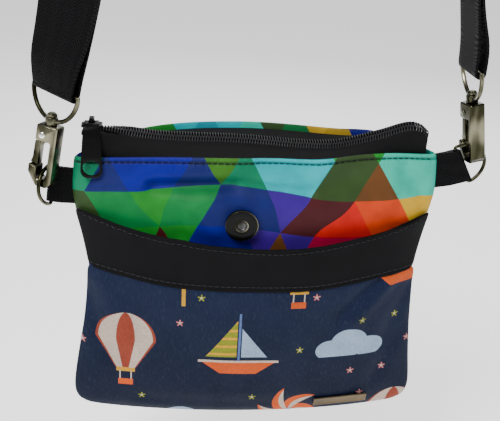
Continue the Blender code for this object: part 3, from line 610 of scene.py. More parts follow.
class BagSizes(PropertyGroup):
    triangle_side: sized("Triangle side", "Side of a printed triangle", 24.66)
    triangle_row: sized("Triangle row", "Height of a row of printed triangles", 21.4)
    motif_width: sized("Motif width", "Room across for one motif of the pocket's print", 64)
    motif_height: sized("Motif height", "Room upwards for one motif of the pocket's print", 54)
    weave: sized("Weave", "Pitch of the printed cloth's threads", 0.45)
    twill: sized("Twill", "Pitch of the zip tape's twill lines", 0.9)
    rib: sized("Rib", "Pitch of the webbing's herringbone ribs", 1.9)
    stitch_length: sized("Stitch length", "Length of one stitch", 2.5)
    stitch_pitch: sized("Stitch pitch", "Distance from stitch to stitch", 3.3)
    thread: sized("Thread", "Thickness of the sewing thread", 0.42)
    tooth_pitch: sized("Tooth pitch", "Distance from turn to turn of the coil", 1.5)
    metal_edge: sized("Metal edge", "Rounding of the cast pieces' edges", 0.4)


class BagColours(PropertyGroup):
    teal: printed("Teal", 0, 150, 104)
    navy: printed("Navy", 34, 44, 122)
    royal: printed("Royal", 0, 8, 160)
    olive: printed("Olive", 82, 142, 56)
    cyan: printed("Cyan", 0, 212, 222)
    moss: printed("Moss", 74, 98, 62)
    brown: printed("Brown", 128, 86, 54)
    mint: printed("Mint", 58, 232, 200)
    green: printed("Green", 0, 148, 70)
    lime: printed("Lime", 48, 164, 60)
    purple: printed("Purple", 76, 36, 164)
    maroon: printed("Maroon", 92, 42, 46)
    red: printed("Red", 250, 34, 20)
    ember: printed("Ember", 255, 80, 30)
    yellow: printed("Yellow", 255, 204, 66)
    crimson: printed("Crimson", 200, 12, 72)
    ground: coloured("Ground", "Dark blue of the pocket", 15, 31, 64)
    rust: coloured("Rust", "Motifs", 168, 72, 50)
    cream: coloured("Cream", "Motifs", 226, 204, 186)
    orange: coloured("Orange", "Motifs", 240, 98, 34)
    leaf: coloured("Leaf", "Motifs", 152, 158, 36)
    sky: coloured("Sky", "Motifs", 176, 200, 228)
    steel: coloured("Steel", "Motifs", 104, 128, 186)
    pink: coloured("Pink", "Motifs", 222, 130, 132)
    gold: coloured("Gold", "Motifs", 238, 176, 50)
    band: coloured("Band", "Black cloth of the pocket's band", 14, 14, 17)
    tape: coloured("Tape", "Black twill of the zip", 24, 24, 26)
    webbing: coloured("Webbing", "Black webbing", 15, 15, 17)
    thread: coloured("Thread", "Sewing thread of the printed cloth", 10, 11, 13)
    band_thread: coloured("Band thread", "Sewing thread of the pocket's band", 52, 52, 56)
    coil: coloured("Coil", "Nylon of the coil", 44, 44, 47)
    lacquer: coloured("Lacquer", "Black lacquer of slider and snap", 9, 9, 10)
    # Nickel plate, darkened to an olive grey as a painted reflection of dark surroundings
    nickel: coloured("Nickel", "Plate of hooks and rings", 160, 156, 130)
    pewter: coloured("Pewter", "Plate of the small name plate", 122, 104, 76)
    floor: coloured("Floor", "Pale floor", 255, 255, 255)


def sizes():
    return bpy.context.scene.bag_sizes


def colours():
    return bpy.context.scene.bag_colours


def colour_of(name):
    return tuple(getattr(colours(), name))


def wave_rate(pitch):
    """Radians for each mm of a wave of this pitch in mm."""
    return 2 * math.pi / pitch


def weave_height(look, across, up, pitch):
    """Plain weave: threads that go over and under each other."""
    turn = wave_rate(pitch / MM)
    return (across * turn).wave() * (up * turn).wave()


def triangle_print(look, across, up, back):
    """Rows of triangles, each row with its own colours, drawn a little out of true."""
    size, tint = sizes(), colours()
    side, row = size.triangle_side / MM, size.triangle_row / MM
    drift = look.noise(42, 1.0, 0.4, seed=3.0) - 0.5
    front = 1.0 - back
    lifted = (across + 26.0).bell(50) * 8.3 * front
    height = (up - ROW_FOOT - lifted + drift * 4.0) / row
    number = height.floor()
    share = height.fract()
    odd = (number * 0.5).fract() * 2.0
    low = (131.0 - up).ease(0, 22) * front
    drawn_in = ((across - 36.0).bell(15) * 9.0 + (across - 14.0).bell(14) * 3.0
                - (across + 55.0).bell(14) * 5.0)
    moved = drawn_in * low + drift * 3.0 + back * BACK_SHIFT
    place = (across - ROW_START + moved) / side + odd * 0.5
    rising = abs(place.fract() - 0.5) < (1.0 - share) * 0.5
    leaning = (place + 0.5).floor() * 2.0
    count = leaning + rising * (place.floor() * 2.0 + 1.0 - leaning)
    position = ((count + 1.5) / PRINT_COLUMNS + back * (number < -0.5) * 0.35).fract()
    level = (number * 0.25).fract() * 4.0 + back * (number > 0.5) * 3.0
    colour = None
    for index, names in enumerate(PRINT_ROWS):
        stops = [(i / PRINT_COLUMNS, getattr(tint, name)) for i, name in enumerate(names.split())]
        shades = look.node("ShaderNodeValToRGB", {"stops": stops}, position).outputs[0]
        colour = shades if colour is None else look.mix(level > index - 0.5, colour, shades)
    chance = look.chance((count + 0.25).floor(), number)
    return look.mix(chance * back * 0.75, colour, (0.3, 0.36, 0.5), "MULTIPLY")


@cache
def printed_cloth():
    """Smooth printed polyester, with a fine weave, a hem that is sewn at the rim, and painted shade
    in the groove under the hem's stitches.
    """
    look = Look("printed_cloth_finish", (0.05, 0.2, 0.5), 0.5, specular_ior_level=0.16)
    across, deep, up = look.place()
    pattern = triangle_print(look, across, up, deep > 0.0)
    cloud = look.noise(14, 3.0)
    shade = look.mix(cloud.ease(0.3, 0.7, 0.0, 0.22), pattern, (0.02, 0.02, 0.03), "MULTIPLY")
    rim = look.attribute("rim_distance")
    groove = (rim - 2.6).bell(0.7)
    # Painted shade: the colour is darkened in the groove under the hem's stitches
    colour = look.mix(groove * 0.55, shade, (0.01, 0.01, 0.012))
    ripple = look.noise(5, 2.0, stretch=(1.6, 1, 0.5)) * (rim - 3.0).bell(3.5)
    weave = weave_height(look, across, up, sizes().weave)
    return look.finished(colour, 0.44 + cloud * 0.16, (cloud, 0.35), (ripple, 1.2),
                         (-groove, 0.7), (weave, 0.02))


def blob(u, v, x, y, wide, high):
    """A mask that is one inside an ellipse."""
    return ((u - x) / wide)**2 + ((v - y) / high)**2 < 1.0


def motif_print(look, across, up):
    """Balloons, boats, clouds and windmills scattered over a dark ground, with painted shade
    towards the pocket's bottom.
    """
    size, tint = sizes(), colours()
    wide, high = size.motif_width / MM, size.motif_height / MM
    row = (up - 43.0) / high + 0.5
    number = row.floor()
    columns = (across + 8.0) / wide + number * 0.5 + 0.5
    cell = columns.floor()
    kind = ((cell + number * 2.0 + 9.0) * 0.25).fract() * 4.0
    u = (columns.fract() - 0.5) * wide / MOTIF_SCALE
    v = ((row.fract() - 0.5) * high + (cell * 0.5).fract() * 10.0 - 1.5) / MOTIF_SCALE
    flip = (number * 0.5).fract() * 4.0 - 1.0
    grain = look.noise(1.2, 3.0, 0.6)
    # Painted shade: the ground is darkened towards the pocket's bottom
    colour = look.mix(up.ease(0, 95), scaled(tint.ground, 0.62), tuple(tint.ground))

    def lay(mask, shade):
        nonlocal colour
        rubbed = look.mix(grain.ease(0.35, 0.75, 0.0, 0.5), tuple(shade), scaled(shade, 0.55))
        colour = look.mix(mask, colour, rubbed)

    balloon = kind < 0.5
    top = v - 5.0
    radius = 13.0
    reach = radius + top * 0.62
    dome = (top > 0.0) * ((u * u + top * top) < radius**2)
    skirt = (top < 0.0) * (top > -16.0) * (abs(u) < reach)
    envelope = balloon * dome.most(skirt)
    bulge = (radius**2 - top * top).most(1.0)**0.5
    girth = (top > 0.0) * bulge + (top < 0.0) * reach.most(1.0)
    gore = (((u / girth) * 0.5).arcsine() * 3.2 + 0.5).floor()
    lay(envelope, tint.rust)
    lay(envelope * ((gore * 0.5).fract() > 0.2), tint.cream)
    lay(balloon * (abs(top + 15.0) < 1.0) * (abs(u) < 4.0), tint.gold)
    lay(balloon * (abs(abs(u) - 2.4) < 0.28) * (abs(top + 18.0) < 2.4), tint.cream)
    lay(balloon * (abs(top + 22.0) < 2.2) * (abs(u) < 3.2), tint.orange)

    boat = (kind > 0.5) * (kind < 1.5)
    bow = u * flip
    lay(boat * (abs(v + 10.5) < 3.5) * (abs(u) < 17.0 + (v + 7.0) * 1.3), tint.orange)
    lay(boat * (abs(v + 7.4) < 0.6) * (abs(u) < 17.4), tint.cream)
    lay(boat * (abs(u) < 0.5) * (v > -7.0) * (v < 17.0), tint.steel)
    lay(boat * (bow > 1.0) * (v > -5.0) * (v < 15.0 - bow * 1.4), tint.leaf)
    lay(boat * (bow < -1.0) * (v > -5.0) * (v < 11.0 + bow * 1.3), tint.sky)
    stripe = (v * 0.25).fract() < 0.3
    lay(boat * (bow > 1.0) * (v > -5.0) * (v < 15.0 - bow * 1.4) * stripe, tint.gold)

    cloud = (kind > 1.5) * (kind < 2.5)
    puffs = blob(u, v, 0.0, 4.0, 8.5, 7.0).most(blob(u, v, -8.5, 1.0, 6.5, 5.0))
    puffs = puffs.most(blob(u, v, 9.0, 1.5, 7.0, 5.0)) * (v > -2.5)
    lay(cloud * puffs, tint.sky)
    vane = kind > 2.5
    spread = (u * u + (v - 4.0) * (v - 4.0))**0.5
    blade = ((v - 4.0).angle_over(u) * (6 / (2 * math.pi)) + spread * 0.02).fract()
    lay(vane * (abs(u) < 0.8) * (abs(v + 12.0) < 9.0), tint.gold)
    lay(vane * (spread < 15.0 - blade * 9.0), tint.orange)
    lay(vane * (spread < 14.0 - blade * 20.0), tint.cream)
    lay(vane * (spread < 1.8), tint.steel)

    room, rise = 21.0, 17.0
    speck_row = up / rise
    speck_column = across / room + speck_row.floor() * 0.37 + 0.3
    chance = look.chance(speck_column.floor(), speck_row.floor())
    aside = (speck_column.fract() - 0.5) * room + (chance - 0.5) * 8.0
    above = (speck_row.fract() - 0.5) * rise
    petals = (aside * aside + above * above)**0.5
    bloom = petals < 1.5 + (above.angle_over(aside) * 5.0).wave() * 0.8
    away = 1.0 - envelope.most(cloud * puffs).most(vane * (spread < 17.0)).most(boat)
    some = (chance > 0.62) * away
    lay(bloom * some, tint.pink)
    lay(bloom * some * (chance > 0.78), tint.leaf)
    lay(some * (petals < 0.7), tint.cream)
    return colour


@cache
def dark_blue_cloth():
    """The pocket's smooth printed cloth."""
    look = Look("dark_blue_cloth_finish", (0.02, 0.04, 0.09), 0.55, specular_ior_level=0.12)
    across, _, up = look.place()
    cloud = look.noise(18, 3.0)
    pattern = motif_print(look, across, up)
    thread = look.noise(0.7, 2.0, stretch=(1, 1, 0.25))
    shade = look.mix(cloud.ease(0.3, 0.7, 0.0, 0.2), pattern, (0.2, 0.22, 0.3), "MULTIPLY")
    # Faint pale flecks along the threads
    flecked = look.mix(thread.ease(0.5, 0.8, 0.0, 0.02), shade, (0.5, 0.55, 0.65))
    colour = flecked
    weave = weave_height(look, across, up, sizes().weave)
    return look.finished(colour, 0.5 + cloud * 0.15, (cloud, 0.5), (weave, 0.02))


@cache
def black_cloth():
    """The band's matt black cloth, with pressed folds along its two sewn edges."""
    base = colour_of("band")
    look = Look("black_cloth_finish", base, 0.75, specular_ior_level=0.1)
    across, _, up = look.place()
    lint = look.noise(0.6, 3.0, 0.7)
    cloud = look.noise(20, 3.0)
    shade = look.mix(lint.ease(0.5, 0.85, 0.0, 0.35), base, scaled(base, 3.2))
    colour = look.mix(cloud.ease(0.35, 0.7, 0.0, 0.4), shade, (0.4, 0.4, 0.42), "MULTIPLY")
    edge = look.attribute("edge_distance")
    pucker = look.noise(3.2, 2.0, stretch=(1, 1, 0.4)) * (edge - 2.6).bell(2.4)
    weave = weave_height(look, across, up, sizes().weave * 1.2)
    return look.finished(colour, 0.66 + lint * 0.2, (cloud, 0.4), (pucker, 0.5),
                         (-(edge - 2.8).bell(0.6), 0.3), (weave, 0.03))


@cache
def twill_tape():
    """Black zip tape with diagonal twill lines, with painted highlights on their crests and painted
    shade between them.
    """
    base = colour_of("tape")
    look = Look("twill_tape_finish", base, 0.8, specular_ior_level=0.12)
    across, deep, up = look.place()
    line = ((across + (up + deep) * 1.2) * wave_rate(sizes().twill / MM)).wave()
    lint = look.noise(0.5, 3.0, 0.7)
    # Painted highlight on the crests of the twill lines and painted shade between them
    shade = look.mix(line.ease(-0.6, 1.0, 0.0, 0.45), scaled(base, 0.55), scaled(base, 1.6))
    colour = look.mix(lint.ease(0.6, 0.9, 0.0, 0.25), shade, (0.16, 0.16, 0.17))
    return look.finished(colour, 0.7 + lint * 0.2, (look.noise(9, 2.0), 0.4), (line, 0.06))


@cache
def webbing():
    """Black webbing, whose ribs zigzag across its width, with painted highlights on the ribs'
    crests and painted shade between them.
    """
    base = colour_of("webbing")
    look = Look("webbing_finish", base, 0.7, specular_ior_level=0.07)
    along = look.attribute("along")
    across = look.attribute("across")
    fold = abs((abs(across) / HERRINGBONE).fract() * 2.0 - 1.0) * HERRINGBONE
    rib = ((along + fold * 0.55) * wave_rate(sizes().rib / MM)).wave()
    thread = (across * wave_rate(1.1)).wave() * ((along - fold * 0.5) * wave_rate(0.8)).wave()
    lint = look.noise(0.5, 3.0, 0.7)
    # Painted highlight on each rib's crest and painted shade in the hollows between the ribs
    shade = look.mix(rib.ease(-0.8, 0.9), scaled(base, 0.4), scaled(base, 1.7))
    colour = look.mix(lint.ease(0.6, 0.9, 0.0, 0.16), shade, (0.14, 0.14, 0.15))
    return look.finished(colour, 0.5 + lint * 0.25, (rib, 0.22), (thread, 0.06))


@cache
def cord():
    """The filler cord between the coil's turns, painted near black as the shade in the gaps between
    them.
    """
    # Near black, as painted shade in the gaps between the coil's turns
    colour = (0.002, 0.002, 0.002)
    look = Look("cord_finish", colour, 0.9, specular_ior_level=0.02)
    across, deep, up = look.place()
    twist = ((across + deep * 1.5 + up) * wave_rate(0.9)).wave()
    return look.finished(colour, 0.8 + twist * 0.1, (twist, 0.1))


@cache
def nylon():
    colour = colour_of("coil")
    look = Look("nylon_finish", colour, 0.34, specular_ior_level=0.5)
    grain = look.noise(0.8, 2.0)
    return look.finished(colour, 0.24 + grain * 0.25, (grain, 0.03))


@cache
def sewing_thread(name, base):
    """Plied thread with a dull shine, with painted highlights on the crests of its plies and
    painted shade between them.
    """
    roughness = 0.6
    look = Look(name, base, roughness, specular_ior_level=0.12)
    across, deep, up = look.place()
    ply = ((across * 0.8 + up * 1.4 + deep) * wave_rate(0.5)).wave()
    # Painted highlight on the crests of the plies and painted shade between them
    colour = look.mix(ply.ease(-0.5, 1.0), scaled(base, 0.6), scaled(base, 2.6))
    return look.finished(colour, roughness, (ply, 0.05))


@cache
def lacquer():
    """Black lacquer over cast metal, a little orange-peeled and worn."""
    base = colour_of("lacquer")
    look = Look("lacquer_finish", base, 0.32, specular_ior_level=0.12)
    peel = look.noise(1.6, 2.0)
    wear = look.noise(0.9, 4.0, 0.7, seed=5.0)
    colour = look.mix(wear.ease(0.62, 0.8, 0.0, 0.4), base, (0.03, 0.03, 0.032))
    return look.finished(colour, 0.2 + wear * 0.2, (peel, 0.04))


@cache
def bright_metal(name, colour, roughness):
    """Plated metal with soft casting marks, fine rubbing and broad patches of painted reflection of
    a dark room.
    """
    look = Look(name, colour, roughness, metallic=1.0)
    cast = look.noise(3.4, 2.0)
    rub = look.noise(0.7, 4.0, 0.7, stretch=(1, 1, 0.3))
    # Painted reflection: broad patches of the colour are darkened as the mirror image of a dark
    # room
    sky = look.noise(9, 1.0, stretch=(1, 1, 0.45), seed=2.0)
    dark = [channel * share for channel, share in zip(colour, DARK_REFLECTION)]
    shade = look.mix(sky.ease(0.43, 0.68), dark, colour)
    colour = look.mix(rub.ease(0.5, 0.85, 0.0, 0.3), shade, scaled(colour, 0.6))
    return look.finished(colour, roughness + rub * 0.16, (cast, 0.1), (rub, 0.006))


@cache
def pewter():
    """The plate's satin surface, brushed along its length, with painted reflections that darken its
    left end and soft patches.
    """
    colour = colour_of("pewter")
    look = Look("pewter_finish", colour, 0.3, metallic=1.0)
    across, _, up = look.place()
    brush = look.noise(0.5, 3.0, 0.6, stretch=(0.08, 1, 1))
    # Painted reflection: the plate is darkened towards its left end and in soft patches
    patch = look.noise(9, 2.0)
    shade = look.mix(across.ease(42, 74), scaled(colour, 0.8), colour)
    colour = look.mix(patch.ease(0.4, 0.7, 0.0, 0.5), shade, scaled(colour, 0.5))
    return look.finished(colour, 0.26 + brush * 0.2, (brush, 0.02))


def nickel():
    return bright_metal("nickel_finish", colour_of("nickel"), 0.16)


# Pieces

def reach_of(piece, keep=lambda y: True):
    """Lowest and highest height of a piece, by the whole millimetres across that it reaches."""
    found = {}
    for _, x, y, z in spots_of(piece):
        if keep(y):
            low, high = found.get(round(x), (z, z))
            found[round(x)] = (min(low, z), max(high, z))
    return found


def rim_heights(piece, side):
    """Height of the pouch's rim at each millimetre across, on its front or its back."""
    found = reach_of(piece, lambda y: y * side > 0.5)
    tops = {}
    for key in COLUMNS:
        near = [found[k][1] for k in range(key - 2, key + 3) if k in found]
        tops[key] = max(near) if near else RIM_HEIGHT
    return {key: sum(tops[column(key + i)] for i in (-2, -1, 0, 1, 2)) / 5 for key in COLUMNS}


def walk(points, step):
    """Equal steps along a path: the start of a leg, its direction and the way gone on it."""
    gone = 0.0
    for start, end in zip(points, points[1:]):
        while gone < (end - start).length:
            yield start, (end - start).normalized(), gone
            gone += step
        gone -= (end - start).length


def stitch_line(piece, path, side, name, thread="thread"):
    """Stitches along a list of places across and up, laid on a piece's outer face."""
    size = sizes()
    tree = surface(piece)
    places = []
    for start, along, gone in walk([Vector(spot) for spot in path], size.stitch_pitch / MM):
        x, z = start + along * gone
        hit, normal, _, _ = tree.ray_cast(on_bag(x, side * FAR, z), Vector((0, -side, 0)))
        if hit is None:
            continue
        along = Vector((along.x, 0, along.y))
        along = (along - normal * along.dot(normal)).normalized()
        third = normal.cross(along)
        place = Matrix((along, third, normal)).transposed().to_4x4()
        place.translation = hit + normal * size.thread * 0.12
        places.append(place)
    stitch = primitive("cylinder", "stitch", vertices=6, radius=size.thread / 2,
                       depth=size.stitch_length, rotation=(0, math.pi / 2, 0))
    with editing(stitch) as bm:
        for face in bm.faces:
            face.select = abs(face.normal.x) > 0.9
        bpy.ops.mesh.bevel(offset=size.thread * 0.3, segments=1)
    finish = sewing_thread(thread + "_finish", colour_of(thread))
    dress(copies_of(stitch, places, name), 60, finish, "black_cloth")


class BAG_OT_pouch(Operator):
    """Round the pouch's shell, fold its cloth and mark the way to its rim."""

    bl_idname = "bag.pouch"
    bl_label = "Printed pouch"

    def execute(self, context):
        pouch = cloth("bag_body", "printed_pouch", back=True)
        rims = {side: rim_heights(pouch, side) for side in (-1, 1)}
        distances = []
        for vert, x, y, z in spots_of(pouch):
            side = -1 if y < 0 else 1
            rim = rims[side][column(x)]
            distances.append(rim - z + (6.0 if vert.normal.y * side < -0.3 else 0.0))
        set_values(pouch, "rim_distance", distances)
        dress(pouch, 60, printed_cloth(), "printed_cloth", "bag_body")
        for side, name in ((-1, "hem_stitches_front"), (1, "hem_stitches_back")):
            path = [(x, rims[side][x] - STITCH_DEPTH) for x in range(-97, 98)]
            stitch_line(pouch, path, side, name)
        return {"FINISHED"}


class BAG_OT_pocket(Operator):
    """Round the pocket and its band, and fold them as the pouch under them."""

    bl_idname = "bag.pocket"
    bl_label = "Front pocket"

    def execute(self, context):
        panel = cloth("pocket_panel", "printed_pocket")
        for vert, x, _, z in spots_of(panel):
            corner, upper = unit((abs(x) - 80) / 12), unit((z - 55) / 15)
            vert.co.x += math.copysign(corner * CORNER_SPREAD * MM, x)
            vert.co.z += (PANEL_RAISE + CORNER_RAISE * corner) * MM * upper
        press_under(panel, "label_plate")
        dress(panel, 60, dark_blue_cloth(), "dark_blue_cloth", "pocket_panel")
        band = cloth("pocket_band", "mouth_band")
        edges = self.edges(band)
        distances = [min(edges[column(x)][1] - z, z - edges[column(x)][0])
                     for _, x, _, z in spots_of(band)]
        set_values(band, "edge_distance", distances)
        dress(band, 60, black_cloth(), "black_cloth", "pocket_band")
        for side, inset, name in ((1, -3.0, "band_stitches_top"), (0, 3.4, "band_stitches_low")):
            path = [(x, edges[x][side] + inset) for x in range(-94, 95)]
            stitch_line(band, path, -1, name, "band_thread")
        for side, inset, radius, name in ((0, 1.0, 1.15, "band_roll_low"),
                                          (1, -0.8, 0.8, "band_roll_top")):
            path = [(x, edges[x][side] + inset) for x in range(-96, 97, 3)]
            self.rolled_edge(band, path, radius, name)
        return {"FINISHED"}

    @staticmethod
    def rolled_edge(band, path, radius, name):
        """A turned-in edge, as a soft roll that is half sunk in the band's face."""
        tree = surface(band)
        spots = []
        for x, z in path:
            hit, normal, _, _ = tree.ray_cast(on_bag(x, -FAR, z), Vector((0, 1, 0)))
            if hit is not None:
                spots.append(hit - normal * radius * 0.45 * MM)
        curve = bpy.data.curves.new(name, "CURVE")
        curve.dimensions = "3D"
        curve.bevel_depth = radius * MM
        curve.bevel_resolution = 2
        curve.use_fill_caps = True
        spline = curve.splines.new("POLY")
        spline.points.add(len(spots) - 1)
        for number, (point, spot) in enumerate(zip(spline.points, spots)):
            point.co = (*spot, 1.0)
            point.radius = 0.94 + 0.08 * math.sin(number * 1.7) + 0.05 * math.sin(number * 0.6)
        activate(placed(name, curve))
        bpy.ops.object.convert(target="MESH")
        roll = bpy.context.active_object
        set_values(roll, "edge_distance", [8.0] * len(roll.data.vertices))
        round_off(roll, 1)
        dress(roll, 70, black_cloth(), "black_cloth")

    @staticmethod
    def edges(band):
        """Lowest and highest height of the band at each millimetre across."""
        found = reach_of(band)
        made = {}
        for key in COLUMNS:
            near = [found[k] for k in range(key - 4, key + 5) if k in found]
            near = near or [found[min(found, key=lambda k: abs(k - key))]]
            made[key] = (min(n[0] for n in near), max(n[1] for n in near))
        return made


def rings_of(piece, start):
    """A loft's vertices as rings, walked from the ones at its start to its other end."""
    bm = bmesh.new()
    bm.from_mesh(piece.data)
    bm.verts.ensure_lookup_table()
    first = [vert.index for vert in bm.verts if start(vert.co)]
    seen = set(first)
    rings = [first]
    while rings[-1]:
        ahead = []
        for index in rings[-1]:
            for edge in bm.verts[index].link_edges:
                other = edge.other_vert(bm.verts[index]).index
                if other not in seen:
                    seen.add(other)
                    ahead.append(other)
        rings.append(ahead)
    rings.pop()
    centres = [sum((bm.verts[i].co for i in ring), Vector()) / len(ring) for ring in rings]
    bm.free()
    return rings, centres


class BAG_OT_zip(Operator):
    """Round the tapes, then set a row of turns on each side of the coil's line."""

    bl_idname = "bag.zip"
    bl_label = "Zip"

    def execute(self, context):
        core = from_solid("zipper_coil", "coil_core")
        low_x = min(vert.co.x for vert in core.data.vertices)
        _, line = rings_of(core, lambda co: co.x < low_x + 1e-4)
        for side in ("front", "back"):
            tape = from_solid("zipper_tape_" + side, "tape_" + side)
            with editing(tape, "EDGE") as bm:
                for edge in bm.edges:
                    edge.select = edge.calc_face_angle(0.0) > math.radians(50)
                bpy.ops.transform.edge_crease(value=1.0)
            round_off(tape, 2)
            self.reach_coil(tape, line)
            dress(tape, 60, twill_tape(), "black_cloth", "zipper_tape_" + side)
        rings, centres = rings_of(core, lambda co: co.x < low_x + 1e-4)
        for ring, centre in zip(rings, centres):
            lean = self.lean(centre)
            for index in ring:
                vert = core.data.vertices[index]
                away = vert.co - centre
                away.y *= CORE_DEPTH
                vert.co = centre + lean @ away
        fatten(core, CORE_SHRINK)
        round_off(core, 1)
        dress(core, 50, cord(), "black_plastic", "zipper_coil")
        turns = copies_of(self.turn(), self.places(line), "coil_turns")
        dress(turns, 50, nylon(), "black_plastic")
        return {"FINISHED"}

    @staticmethod
    def lean(spot):
        """How far the coil's face is turned to the front, past the slider."""
        share = unit((to_bag(spot).x + 82) / 12)
        return Matrix.Rotation(COIL_LEAN * share, 3, "X")

    @staticmethod
    def reach_coil(tape, line):
        """Lift a tape's upper edge into the coil wherever the two run together."""
        coil = {}
        for low, high in zip(line, line[1:]):
            (x, y, z), (end, _, last) = to_bag(low), to_bag(high)
            for key in range(math.ceil(min(x, end)), math.floor(max(x, end)) + 1):
                share = (key - x) / (end - x or 1.0)
                coil[key] = (y, max(z + (last - z) * share, coil.get(key, (0, 0))[1]))
        tops = {key: high for key, (_, high) in reach_of(tape).items()}
        for vert, x, y, z in spots_of(tape):
            key = max(min(coil), min(max(coil), round(x)))
            ends = [min((k for k in tops if way * (k - x) >= 0), key=lambda k: abs(k - x),
                        default=round(x)) for way in (-1, 1)]
            share = (x - ends[0]) / (ends[1] - ends[0] or 1)
            top = tops[ends[0]] + (tops[ends[1]] - tops[ends[0]]) * share
            coil_y, coil_z = coil[key]
            beside = unit((4.5 - abs(y - coil_y)) / 2)
            near = unit((z - top + 6) / 6)
            lift = max(0.0, min(TAPE_LIFT, coil_z - COIL_SINK - top))
            vert.co.z += lift * beside * near * MM

    @staticmethod
    def turn():
        """One turn of the coil's right row, from the tape up and over to the middle."""
        turn = primitive("circle", "turn", vertices=6, radius=WIRE * MM, fill_type="NGON",
                         location=(0, 2.6 * MM, -0.3 * MM))
        with editing(turn, everything=True) as bm:
            for dx, dy, dz, lean in TURN_STEPS:
                bpy.ops.mesh.extrude_region_move(
                    TRANSFORM_OT_translate={"value": (dx * MM, dy * MM, dz * MM)})
                middle = sum((v.co for v in bm.verts if v.select), Vector()) / 6
                bpy.ops.transform.rotate(value=-lean, orient_axis="X", center_override=middle)
        with editing(turn, everything=True):
            bpy.ops.mesh.normals_make_consistent(inside=False)
        return turn

    @classmethod
    def places(cls, line):
        """Frames along the coil's line, a row on each side and half a pitch apart."""
        wide, high = COIL_STRETCH
        places = []
        for index, (low, along, gone) in enumerate(walk(line, sizes().tooth_pitch / 2)):
            side = Vector((0, 1 if index % 2 else -1, 0))
            up = along.cross(side).normalized()
            up = up if up.z > 0 else -up
            turn = Matrix((along, side * wide, up * high)).transposed()
            place = (cls.lean(low) @ turn).to_4x4()
            place.translation = low + along * gone
            places.append(place)
        return places


class BAG_OT_slider(Operator):
    """Melt the slider into a cast shape, and give the pull its oval window and round end."""

    bl_idname = "bag.slider"
    bl_label = "Slider and pull"

    def execute(self, context):
        slider = from_solid("zipper_slider", "slider", quads=False)
        modify(slider, "REMESH", mode="VOXEL", voxel_size=0.3 * MM)
        modify(slider, "SMOOTH", factor=0.5, iterations=5)
        fatten(slider, 0.12)
        dress(slider, 80, lacquer(), "black_metal", "zipper_slider")
        pull = from_solid("zipper_pull", "pull_tab", quads=False)
        self.widen_window(pull)
        self.round_end(pull)
        bevel(pull, sizes().metal_edge * 0.7, 3, 32)
        dress(pull, 40, lacquer(), "black_metal", "zipper_pull", body="pull")
        return {"FINISHED"}

    @staticmethod
    def widen_window(pull):
        """Widen the round window into an oval one, so that a thin rim is left about it."""
        spots = [vert.co for vert in pull.data.vertices]
        middle = (min(s.x for s in spots) + max(s.x for s in spots)) / 2
        centre = min(s.z for s in spots) + WINDOW_HEIGHT * MM
        for spot in spots:
            if math.hypot(spot.x - middle, spot.z - centre) < WINDOW_REACH * MM:
                spot.x = middle + (spot.x - middle) * WINDOW_WIDENING
                if spot.z < centre:
                    spot.z = centre + (spot.z - centre) * WINDOW_LOWERING

    @staticmethod
    def round_end(pull):
        """Turn the pull's lower corners into one round end."""
        low = min(vert.co.z for vert in pull.data.vertices)
        sides = [pick(vert.co.x for vert in pull.data.vertices) for pick in (min, max)]
        with editing(pull, "EDGE") as bm:
            for edge in bm.edges:
                spot = (edge.verts[0].co + edge.verts[1].co) / 2
                across = edge.verts[0].co - edge.verts[1].co
                low_down = spot.z < low + 5 * MM and abs(across.y) > 0.8 * across.length
                aside = min(abs(spot.x - side) for side in sides)
                outer = spot.z < low + 0.6 * MM or aside < 0.9 * MM
                edge.select = low_down and outer and edge.calc_face_angle(0.0) > math.radians(15)
            bpy.ops.mesh.bevel(offset=1.6 * MM, segments=4)


class BAG_OT_snap(Operator):
    """Turn the black case, then lay a bright ring in its socket and on its edge."""

    bl_idname = "bag.snap"
    bl_label = "Round snap"

    def execute(self, context):
        low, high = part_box("magnetic_snap")
        solid = frame["nodes"]["magnetic_snap"].data
        face = max(solid.polygons, key=lambda polygon: -polygon.normal.y * polygon.area)
        out = face.normal.normalized()
        centre = (low + high) / 2
        heights = [(vert.co - centre).dot(out) for vert in solid.vertices]
        back = (min(heights) - max(heights)) / MM
        place = pointed(centre + out * max(heights), out)
        case = ((8.1, back + 0.1), (8.91, back + 0.5), *SNAP_CASE)
        dress(turned("snap_case", case, place), 50, lacquer(), "black_metal", "magnetic_snap")
        dull = bright_metal("socket_finish", (0.1, 0.1, 0.1), 0.35)
        dress(turned("snap_socket", SNAP_SOCKET, place), 50, dull, "black_metal")
        dress(turned("snap_lip", SNAP_LIP, place), 50, nickel(), "nickel")
        dress(turned("snap_edge", SNAP_EDGE, place), 50, nickel(), "nickel")
        return {"FINISHED"}


class BAG_OT_plate(Operator):
    """Round the plate's corners and sink a fine border into its face."""

    bl_idname = "bag.plate"
    bl_label = "Small plate"

    def execute(self, context):
        plate = from_solid("label_plate", "plate", quads=False)
        with editing(plate) as bm:
            for face in bm.faces:
                face.select = -face.normal.y > 0.5 and face.calc_area() > 1e-4
            bpy.ops.mesh.inset(thickness=BORDER * MM)
            bpy.ops.mesh.inset(thickness=GROOVE * MM, depth=-GROOVE * 0.9 * MM)
        bevel(plate, 0.12 * MM, 3, 30)
        dress(plate, 40, pewter(), "bronze_metal", "label_plate")
        return {"FINISHED"}


